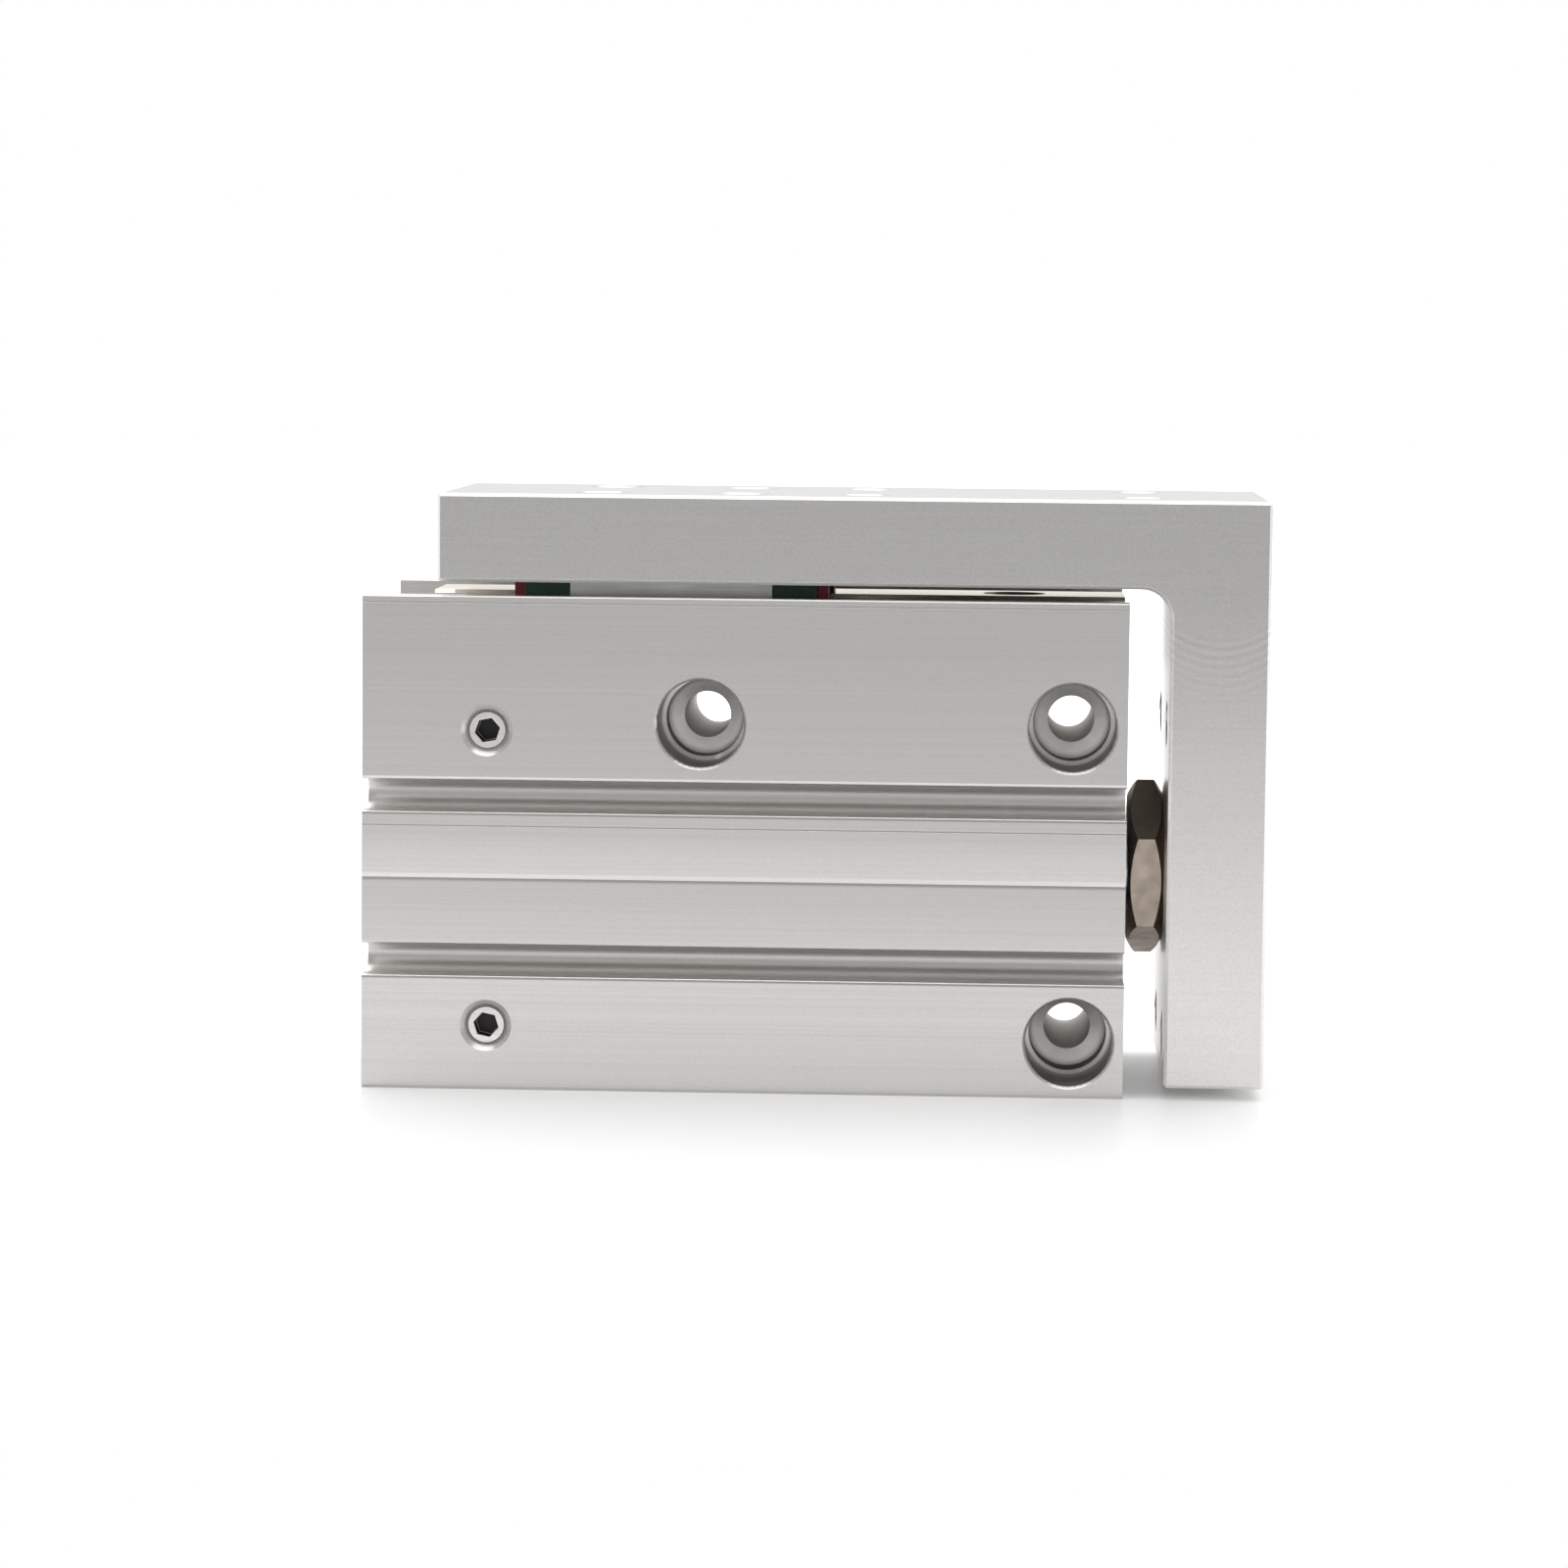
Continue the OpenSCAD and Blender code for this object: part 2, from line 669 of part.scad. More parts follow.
module guide_rail() {
    color([0.86, 0.84, 0.78]) difference() {
        extrude_x(rail_x, rail_l) mirrored_outline([
            [rail_w / 2 - rail_c, rail_z], [rail_w / 2, rail_z + rail_c],
            [rail_w / 2, rail_top_z - rail_c], [rail_w / 2 - rail_c, rail_top_z]]);
        both_sides() rod_x(rail_x - over, track_d, rail_l + 2 * over, y = track_y, z = track_z);
        for (i = [0:rail_holes - 1]) translate([rail_first_x - i * rail_pitch, 0, 0]) {
            translate([0, 0, rail_z - over]) cylinder(d = screw_d + screw_play, h = rail_h + 2 * over);
            translate([0, 0, rail_top_z - rail_head_depth])
                cylinder(d = rail_head_d, h = rail_head_depth + over);
            translate([0, 0, rail_top_z - thread_c])
                cylinder(d1 = rail_head_d, d2 = rail_head_d + 2 * (thread_c + over), h = thread_c + over);
        }
    }
}

module rail_screws() {
    color(dark_steel) for (i = [0:rail_holes - 1])
        translate([rail_first_x - i * rail_pitch, 0, rail_top_z - rail_head_depth])
            cap_screw(screw_d, rail_h - rail_head_depth + rail_screw_grip);
}

// ---- Guide block -----------------------------------------------------------

// Section of the block: an inverted U over the rail, drawn in by inset all round
module block_section(inset) {
    half = block_w / 2 - inset;
    crown = 3 * rail_c;
    mirrored_outline([
        [slot_w / 2 + inset, block_z + inset], [half - rail_c, block_z + inset],
        [half, block_z + inset + rail_c], [half, block_top_z - inset - crown],
        [half - crown, block_top_z - inset]]);
}

// The slot that clears the rail, a little wider by inset
module block_slot(x, l, inset) {
    translate([x - over, -slot_w / 2 - inset, block_z - over])
        cube([l + 2 * over, slot_w + 2 * inset, slot_top_z + inset - block_z + over]);
}

module guide_block() {
    color(steel) difference() {
        extrude_x(block_x, block_l) block_section(0);
        block_slot(block_x, block_l, 0);
        both_sides() {
            rod_x(block_x - over, track_d, block_l + 2 * over, y = track_y, z = track_z);
            rod_x(block_x - over, track_d, block_l + 2 * over, y = track_y + ball_return, z = track_z);
        }
        for (x = [-1, 1], y = [-1, 1])
            thread_down(block_mid_x + x * block_pitch_x / 2, y * block_pitch_y / 2, block_top_z,
                screw_d, block_screw_grip + screw_d / 2);
        for (x = [block_x - over, block_x + block_l - seal_screw_grip], y = [-1, 1])
            rod_x(x, seal_screw_d, seal_screw_grip + over,
                y = y * seal_screw_y, z = block_top_z - seal_screw_drop);
    }
}

// A slice of the section with holes of diameter d for the seal screws
module end_slice(x, l, inset, d) {
    difference() {
        extrude_x(x, l) block_section(inset);
        block_slot(x, l, inset);
        for (y = [-1, 1]) rod_x(x - over, d, l + 2 * over,
            y = y * seal_screw_y, z = block_top_z - seal_screw_drop);
    }
}

module rear_end_cap() {
    color(cap_green) end_slice(block_x - cap_l, cap_l, cap_in, seal_screw_d);
}

module front_end_cap() {
    color(cap_green) end_slice(block_x + block_l, cap_l, cap_in, seal_screw_d);
}

module rear_end_seal() {
    color(seal_red) end_slice(runner_x, seal_l, 2 * cap_in, seal_head_d);
}

module front_end_seal() {
    color(seal_red) end_slice(runner_x + runner_l - seal_l, seal_l, 2 * cap_in, seal_head_d);
}

// Small screws through the caps into the block at both ends, their heads in the seals
module seal_screws() {
    head = 0.7 * seal_l;
    head_x = runner_x + seal_l - head;
    color(dark_steel) for (end = [0, 1], y = [-1, 1])
        translate([end * (2 * runner_x + runner_l), y * seal_screw_y, 0]) mirror([end, 0, 0]) {
            difference() {
                rod_x(head_x, seal_head_d, head, z = block_top_z - seal_screw_drop);
                rod_x(head_x - over, flats(seal_screw_d * 0.6), head * 0.6 + over,
                    z = block_top_z - seal_screw_drop, $fn = 6);
            }
            rod_x(head_x + head, seal_screw_d, cap_l + seal_screw_grip, z = block_top_z - seal_screw_drop);
        }
}

// Loaded and return rows of balls
module bearing_balls() {
    count = floor(block_l / ball_d);
    start = block_mid_x - (count - 1) * ball_d / 2;
    color(steel) for (i = [0:count - 1]) both_sides() for (row = [0, ball_return])
        translate([start + i * ball_d, track_y + row, track_z]) sphere(d = ball_d, $fn = 24);
}

// ---- Table -----------------------------------------------------------------

// Side view of the table with its end plate, filleted in the inner corner
module table_side() {
    difference() {
        polygon([
            [table_x, table_z], [plate_x - corner_r, table_z],
            [plate_x - corner_r, table_z - corner_r], [plate_x, table_z - corner_r],
            [plate_x, plate_lift], [plate_out_x, plate_lift],
            [plate_out_x, table_top_z], [table_x, table_top_z]]);
        translate([plate_x - corner_r, table_z - corner_r]) circle(r = corner_r);
    }
}

// Section that cuts a chamfer off an edge at the origin, with the material at +X and -Y
module edge_section() {
    polygon([[table_c + over, over], [-over, -table_c - over], [-over, over]]);
}

// Chamfer on the side face, along X from x0 to x1, turned to face the material
module side_cut_x(x0, x1, z, turn) {
    translate([(x0 + x1) / 2, body_w / 2, z]) rotate([0, turn, 0])
        linear_extrude(x1 - x0, center = true) edge_section();
}

// Chamfer on the side face, along Z from z0 to z1, turned to face the material
module side_cut_z(z0, z1, x, turn) {
    translate([x, body_w / 2, (z0 + z1) / 2]) rotate([0, turn, 0])
        linear_extrude(z1 - z0, center = true) edge_section();
}

// Chamfer across the table along Y, turned to face the material
module cross_cut(x, z, turn) {
    translate([x, 0, z]) rotate([90, turn, 0])
        linear_extrude(body_w + 2 * over, center = true) edge_section();
}

// Chamfers round the table's side faces, the fillet among them, and across its ends
module table_chamfers() {
    both_sides() {
        side_cut_x(table_x - over, plate_out_x + over, table_top_z, 90);
        side_cut_x(table_x - over, plate_x - corner_r, table_z, -90);
        side_cut_x(plate_x - over, plate_out_x + over, plate_lift, -90);
        side_cut_z(table_z - over, table_top_z + over, table_x, 0);
        side_cut_z(plate_lift - over, table_z - corner_r, plate_x, 0);
        side_cut_z(plate_lift - over, table_top_z + over, plate_out_x, 180);
        translate([plate_x - corner_r, body_w / 2, table_z - corner_r]) rotate([90, 0, 0])
            rotate_extrude(angle = 90) translate([corner_r, 0]) mirror([0, 1]) edge_section();
    }
    cross_cut(table_x, table_top_z, 0);
    cross_cut(table_x, table_z, -90);
    cross_cut(plate_x, plate_lift, -90);
    cross_cut(plate_out_x, table_top_z, 90);
    cross_cut(plate_out_x, plate_lift, 180);
}

module table() {
    color(table_grey) difference() {
        translate([0, body_w / 2, 0]) rotate([90, 0, 0]) linear_extrude(body_w) table_side();
        table_chamfers();
        // Recess for the guide block
        translate([table_x - over, -recess_w / 2, table_z - over])
            cube([plate_x - recess_stop - table_x + over, recess_w, block_top_z - table_z + over]);
        // Screws into the block
        for (x = [-1, 1], y = [-1, 1])
            translate([block_mid_x + x * block_pitch_x / 2, y * block_pitch_y / 2, 0]) {
                translate([0, 0, table_z]) cylinder(d = screw_d + screw_play, h = table_t + over);
                thread_down(0, 0, table_top_z, table_head_d, table_head_depth);
            }
        // Threads for a workpiece in the table
        for (x = [0, work_pitch_x], y = [-1, 1])
            thread_down(plate_out_x - work_end - x, y * work_pitch_y / 2, table_top_z, work_d, work_depth);
        // Threads for a workpiece in the end plate
        for (z = [0, work_pitch_z], y = [-1, 1]) {
            rod_x(plate_x - over, work_d, plate_t + 2 * over, y = y * work_pitch_y / 2, z = work_low_z + z);
            cone_x(plate_out_x - thread_c, work_d, work_d + 2 * (thread_c + over), thread_c + over,
                y = y * work_pitch_y / 2, z = work_low_z + z);
        }
        // Rod joint
        rod_x(plate_x - over, rod_screw_d + screw_play, plate_t + 2 * over);
        rod_x(plate_out_x - rod_head_depth, rod_head_d, rod_head_depth + over);
        cone_x(plate_out_x - thread_c, rod_head_d, rod_head_d + 2 * (thread_c + over), thread_c + over);
    }
}

module block_screws() {
    color(dark_steel) for (x = [-1, 1], y = [-1, 1])
        translate([block_mid_x + x * block_pitch_x / 2, y * block_pitch_y / 2, table_top_z - table_head_depth])
            cap_screw(screw_d, table_top_z - table_head_depth - block_top_z + block_screw_grip);
}

// ---- Rod and piston --------------------------------------------------------

// The rod with its riveted spigot, turned from one outline
module piston_rod() {
    l = plate_x - piston_x;
    color([0.78, 0.78, 0.80]) difference() {
        turn_x(piston_x) polygon([
            [0, 0], [spigot_d / 2 + rivet_reach, 0], [spigot_d / 2, rivet_t], [spigot_d / 2, piston_l],
            [rod_d / 2, piston_l], [rod_d / 2, l - edge_c], [rod_d / 2 - edge_c, l], [0, l]]);
        rod_x(plate_x - rod_screw_grip - rod_screw_d / 2, rod_screw_d, rod_screw_grip + rod_screw_d);
    }
}

// Hexagonal nut against the end plate, chamfered on both faces
module rod_nut() {
    color(steel) difference() {
        intersection() {
            translate([plate_x - nut_t, 0, axis_z]) rotate([nut_turn, 0, 0]) rotate([0, 90, 0])
                cylinder(d = flats(nut_flats), h = nut_t, $fn = 6);
            turn_x(plate_x - nut_t) polygon(nut_limit());
        }
        rod_x(plate_x - nut_t - over, rod_d, nut_t + 2 * over);
    }
}

// Half section that chamfers the corners of the nut at 30 degrees
function nut_limit() =
    let (face = nut_flats * 0.475, corner = flats(nut_flats) / 2 + 0.1, fall = (corner - face) * tan(30))
    [[0, 0], [face, 0], [corner, fall], [corner, nut_t - fall], [face, nut_t], [0, nut_t]];

module rod_end_screw() {
    seat = plate_out_x - rod_head_depth + washer_t;
    color(dark_steel) translate([seat, 0, axis_z]) rotate([0, 90, 0])
        cap_screw(rod_screw_d, seat - plate_x + rod_screw_grip);
}

module rod_end_washer() {
    color(steel) ring_x(plate_out_x - rod_head_depth, rod_head_d - screw_play,
        rod_screw_d + screw_play, washer_t);
}

// Piston blank between x and x + l, with the hole for the spigot
module piston_blank(x, l) {
    difference() {
        rod_x(x, piston_d, l);
        rod_x(x - over, spigot_d, l + 2 * over);
    }
}

// A groove of depth w below the bore size
module piston_groove(x, w, l) {
    difference() {
        rod_x(x, bore_d + over, l);
        rod_x(x - over, bore_d - 2 * running_gap - 2 * w, l + 2 * over);
    }
}

module piston() {
    color([0.80, 0.76, 0.60]) difference() {
        piston_blank(magnet_at, piston_x + piston_l - magnet_at);
        piston_groove(magnet_at - over, magnet_w, magnet_l + over);
        piston_groove(wear_at, wear_ring_w, wear_ring_l);
    }
}

module piston_retainer() {
    color([0.80, 0.76, 0.60]) difference() {
        piston_blank(piston_x, magnet_at - piston_x);
        piston_groove(seal_at, piston_seal_w, piston_seal_l);
        cone_x(piston_x, spigot_d + 2 * rivet_reach, spigot_d, rivet_t);
    }
}

module piston_seal() {
    half = bore_d / 2 - running_gap;
    color(rubber) turn_x(seal_at) polygon([
        [half - piston_seal_w, 0], [half - 0.3, 0], [half, 0.3 * piston_seal_l],
        [half - 0.3, piston_seal_l / 2], [half, 0.7 * piston_seal_l],
        [half - 0.3, piston_seal_l], [half - piston_seal_w, piston_seal_l]]);
}

module wear_ring() {
    color([0.85, 0.80, 0.65])
        ring_x(wear_at, bore_d - 2 * running_gap, bore_d - 2 * running_gap - 2 * wear_ring_w, wear_ring_l);
}

module magnet() {
    color([0.18, 0.18, 0.20])
        ring_x(magnet_at, piston_d, bore_d - 2 * running_gap - 2 * magnet_w, magnet_l);
}

// ---- Parts -----------------------------------------------------------------

cylinder_body();
guide_rail();
rail_screws();
upper_port_plug();
lower_port_plug();
passage_balls();
head_cover();
head_cover_o_ring();
head_cover_clip();
rear_bumper();
rod_cover();
rod_cover_o_ring();
rod_cover_clip();
rod_bush();
rod_seal();
front_bumper();
table();
guide_block();
rear_end_cap();
front_end_cap();
rear_end_seal();
front_end_seal();
seal_screws();
bearing_balls();
block_screws();
piston_rod();
rod_nut();
rod_end_screw();
rod_end_washer();
piston();
piston_retainer();
piston_seal();
wear_ring();
magnet();
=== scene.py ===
"""Looks of a compact pneumatic slide table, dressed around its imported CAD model."""

from __future__ import annotations

import json
import logging
import math
from dataclasses import dataclass
from enum import Enum
from typing import Iterable, Sequence

import bmesh
import bpy
from mathutils import Matrix, Vector

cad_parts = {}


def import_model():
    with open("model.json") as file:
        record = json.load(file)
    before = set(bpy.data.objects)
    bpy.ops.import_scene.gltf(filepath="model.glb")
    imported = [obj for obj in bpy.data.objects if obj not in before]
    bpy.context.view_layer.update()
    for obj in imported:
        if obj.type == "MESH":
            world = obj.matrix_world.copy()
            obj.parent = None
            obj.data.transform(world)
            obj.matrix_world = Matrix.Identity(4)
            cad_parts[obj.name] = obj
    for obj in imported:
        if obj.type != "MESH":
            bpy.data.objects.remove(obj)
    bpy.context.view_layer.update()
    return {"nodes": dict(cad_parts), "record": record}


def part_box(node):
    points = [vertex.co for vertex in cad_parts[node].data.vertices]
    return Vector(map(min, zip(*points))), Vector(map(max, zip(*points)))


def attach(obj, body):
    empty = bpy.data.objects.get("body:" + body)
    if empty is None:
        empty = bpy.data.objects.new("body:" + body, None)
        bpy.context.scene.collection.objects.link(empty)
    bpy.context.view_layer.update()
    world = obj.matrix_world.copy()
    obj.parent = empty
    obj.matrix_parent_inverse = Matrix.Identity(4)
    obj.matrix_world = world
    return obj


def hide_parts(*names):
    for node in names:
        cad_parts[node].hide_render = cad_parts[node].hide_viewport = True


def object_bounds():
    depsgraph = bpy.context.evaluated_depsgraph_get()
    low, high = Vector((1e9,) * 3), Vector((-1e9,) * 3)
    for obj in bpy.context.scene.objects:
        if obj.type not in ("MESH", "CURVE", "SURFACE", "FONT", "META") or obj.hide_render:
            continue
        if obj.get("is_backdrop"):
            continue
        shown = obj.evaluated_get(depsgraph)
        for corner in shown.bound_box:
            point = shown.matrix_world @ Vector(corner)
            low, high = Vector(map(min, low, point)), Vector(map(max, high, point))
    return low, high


LOG = logging.getLogger("slide_table")
MM = 0.001

# Angles in degrees: facets that count as flat, edges that get broken, edges that stay smooth
FLAT_ANGLE = 0.3
EDGE_ANGLE = 28
FACET_ANGLE = 12
RIDGE_ANGLE = 35
BEAD_ANGLE = 60

# Ranges: the middle of a noise pattern, where nearly all of it lies, and a share from none to all
MIDDLE = (0.35, 0.65)
SHARE = (0.0, 1.0)

Colour = tuple[float, float, float]
Triple = tuple[float, float, float]
Socket = bpy.types.NodeSocket


class Body(Enum):
    """Rigid bodies of the slide."""

    CYLINDER = "cylinder"
    TABLE = "slide_table"


class Way(Enum):
    """Directions along the axes of the frame."""

    RIGHT = (1.0, 0.0, 0.0)
    LEFT = (-1.0, 0.0, 0.0)
    UP = (0.0, 0.0, 1.0)
    DOWN = (0.0, 0.0, -1.0)
    NEAR = (0.0, -1.0, 0.0)

    def vector(self) -> Vector:
        """Return the direction as a unit vector."""
        return Vector(self.value)


class Sum(Enum):
    """Sums that a math node can do."""

    ADD = "ADD"
    SUBTRACT = "SUBTRACT"
    MULTIPLY = "MULTIPLY"
    MAXIMUM = "MAXIMUM"
    ABSOLUTE = "ABSOLUTE"
    GREATER_THAN = "GREATER_THAN"
    SQRT = "SQRT"
    SINE = "SINE"


# ---- Shader graphs -----------------------------------------------------------


class Nodes:
    """A node tree, with one short method for each kind of node."""

    def __init__(self, tree: bpy.types.NodeTree) -> None:
        """Wrap the tree of a material or a world."""
        self.tree = tree

    def link(self, value: Socket | float | Sequence[float], target: Socket) -> None:
        """Feed a socket from another socket, or set it to a plain value.

        Args:
            value: Output socket, number, vector or colour.
            target: Input socket to feed.
        """
        if isinstance(value, bpy.types.NodeSocket):
            self.tree.links.new(value, target)
        else:
            target.default_value = value

    def place(self) -> Socket:
        """Return the place on the object, in metres of the frame."""
        return self.tree.nodes.new("ShaderNodeTexCoord").outputs["Object"]

    def facing(self) -> Socket:
        """Return the surface's own normal in the frame."""
        return self.tree.nodes.new("ShaderNodeTexCoord").outputs["Normal"]

    def split(self, vector: Socket) -> tuple[Socket, Socket, Socket]:
        """Return the three components of a vector.

        Args:
            vector: Vector to take apart.

        Returns:
            Its X, Y and Z.
        """
        node = self.tree.nodes.new("ShaderNodeSeparateXYZ")
        self.link(vector, node.inputs[0])
        return node.outputs[0], node.outputs[1], node.outputs[2]

    def math(self, kind: Sum, *values: Socket | float) -> Socket:
        """Return the result of a math node.

        Args:
            kind: What the node does.
            values: Its inputs in order.

        Returns:
            The result.
        """
        node = self.tree.nodes.new("ShaderNodeMath")
        node.operation = kind.value
        for value, target in zip(values, node.inputs):
            self.link(value, target)
        return node.outputs[0]

    def weighted(self, *parts: tuple[Socket, float]) -> Socket:
        """Return patterns added up, each with its own weight.

        Args:
            parts: Each pattern with its weight.

        Returns:
            The weighted sum.
        """
        total, *others = [self.math(Sum.MULTIPLY, pattern, weight) for pattern, weight in parts]
        for other in others:
            total = self.math(Sum.ADD, total, other)
        return total

    def square(self, value: Socket) -> Socket:
        """Return a value times itself."""
        return self.math(Sum.MULTIPLY, value, value)

    def stretched(self, vector: Socket, scale: Sequence[float]) -> Socket:
        """Return a vector scaled along each axis.

        Args:
            vector: Vector to scale.
            scale: Factors for X, Y and Z.

        Returns:
            The scaled vector.
        """
        node = self.tree.nodes.new("ShaderNodeMapping")
        self.link(vector, node.inputs["Vector"])
        self.link(scale, node.inputs["Scale"])
        return node.outputs[0]

    def noise(self, vector: Socket, scale: float, detail: float = 2.0, rough: float = 0.5) -> Socket:
        """Return smooth noise between about 0 and 1.

        Args:
            vector: Where the noise is read.
            scale: Features per unit.
            detail: Octaves of finer noise.
            rough: Weight of the finer noise.

        Returns:
            The noise.
        """
        node = self.tree.nodes.new("ShaderNodeTexNoise")
        self.link(vector, node.inputs["Vector"])
        self.link(scale, node.inputs["Scale"])
        self.link(detail, node.inputs["Detail"])
        self.link(rough, node.inputs["Roughness"])
        return node.outputs["Fac"]

    def between(self, value: Socket, source: tuple[float, float], target: tuple[float, float]) -> Socket:
        """Return a value moved from one range to another and held inside it.

        Args:
            value: Value to move.
            source: Range that it comes from.
            target: Range that it goes to.

        Returns:
            The moved value.
        """
        node = self.tree.nodes.new("ShaderNodeMapRange")
        for item, socket in zip((value, *source, *target), node.inputs):
            self.link(item, socket)
        return node.outputs[0]

    def rays(self, *kinds: str) -> Socket:
        """Return 1 for light paths of the named kinds, such as Is Camera Ray, and 0 for others.

        Args:
            kinds: Names of the light path's outputs.

        Returns:
            The mask.
        """
        path = self.tree.nodes.new("ShaderNodeLightPath")
        seen = path.outputs[kinds[0]]
        for kind in kinds[1:]:
            seen = self.math(Sum.MAXIMUM, seen, path.outputs[kind])
        return seen

    def tinted(self, factor: Socket, low: Colour, high: Colour) -> Socket:
        """Return a colour between two colours.

        Args:
            factor: 0 for the first colour, 1 for the second.
            low: First colour.
            high: Second colour.

        Returns:
            The mixed colour.
        """
        node = self.tree.nodes.new("ShaderNodeMix")
        node.data_type = "RGBA"
        self.link(factor, node.inputs["Factor"])
        self.link((*low, 1.0), node.inputs[6])
        self.link((*high, 1.0), node.inputs[7])
        return node.outputs[2]


class Graph(Nodes):
    """A material with a principled surface."""

    def __init__(self, name: str) -> None:
        """Start a material.

        Args:
            name: Name of the material.
        """
        self.material = bpy.data.materials.new(name)
        self.material.use_nodes = True
        super().__init__(self.material.node_tree)
        self.surface = self.tree.nodes["Principled BSDF"]

    def bump(self, height: Socket, depth: float, strength: float = 1.0) -> None:
        """Raise the surface by a height pattern.

        Args:
            height: Pattern between 0 and 1.
            depth: Height of the pattern in metres.
            strength: Share of the effect that shows.
        """
        node = self.tree.nodes.new("ShaderNodeBump")
        self.link(height, node.inputs["Height"])
        self.link(depth, node.inputs["Distance"])
        self.link(strength, node.inputs["Strength"])
        self.link(node.outputs[0], self.surface.inputs["Normal"])

    def dress(self, **values: Socket | float | Sequence[float]) -> None:
        """Set inputs of the principled surface, named with _ for each space."""
        for name, value in values.items():
            self.link(value, self.surface.inputs[name.replace("_", " ").title()])


def shade(colour: Colour, factor: float) -> Colour:
    """Return a colour made lighter or darker by a factor, held under 1."""
    return tuple(min(1.0, part * factor) for part in colour)


# ---- Finishes ----------------------------------------------------------------


@dataclass(frozen=True)
class Finish:
    """A surface finish and the record's slot that it belongs to."""

    slot: str
    colour: Colour
    rough: float
    metal: float = 1.0
    mottles: float = 900.0
    mottle_depth: float = 0.01 * MM

    def paint(self, graph: Graph) -> None:
        """Add the finish's own pattern; the plain finish has fine mottling.

        Args:
            graph: Material to fill.
        """
        mottle = graph.noise(graph.place(), self.mottles, 3.0)
        graph.dress(
            base_color=graph.tinted(mottle, shade(self.colour, 0.94), shade(self.colour, 1.05)),
            roughness=graph.between(mottle, (0.3, 0.7), (self.rough * 0.9, self.rough * 1.12)))
        graph.bump(mottle, self.mottle_depth, 0.4)

    def material(self) -> bpy.types.Material:
        """Return the finish's material, made once.

        Returns:
            The material.
        """
        name = f"{self.slot}_{type(self).__name__}".lower()
        if name not in bpy.data.materials:
            graph = Graph(name)
            graph.dress(metallic=self.metal)
            self.paint(graph)
        return bpy.data.materials[name]


@dataclass(frozen=True)
class DrawnAluminium(Finish):
    """Anodised extrusion with die lines along X."""

    line: float = 0.22 * MM
    band: float = 2.6 * MM
    along: float = 3.0
    grains: float = 4500.0
    line_depth: float = 0.012 * MM

    def paint(self, graph: Graph) -> None:
        """Add die lines, broad bands and fine grain to the surface.

        Args:
            graph: Material to fill.
        """
        place = graph.place()
        lines = graph.noise(graph.stretched(place, (self.along, 1 / self.line, 1 / self.line)), 1.0, 2.0, 0.6)
        bands = graph.noise(graph.stretched(place, (self.along, 1 / self.band, 1 / self.band)), 1.0, 2.0)
        grain = graph.noise(place, self.grains, 2.0, 0.6)
        mixed = graph.weighted((lines, 0.4), (bands, 0.3), (grain, 0.3))
        graph.dress(
            base_color=graph.tinted(graph.between(mixed, MIDDLE, SHARE),
                                    shade(self.colour, 0.92), shade(self.colour, 1.05)),
            roughness=graph.between(mixed, MIDDLE, (self.rough * 1.08, self.rough * 0.92)))
        graph.bump(graph.weighted((lines, 1.0), (grain, 0.5)), self.line_depth, 0.03)


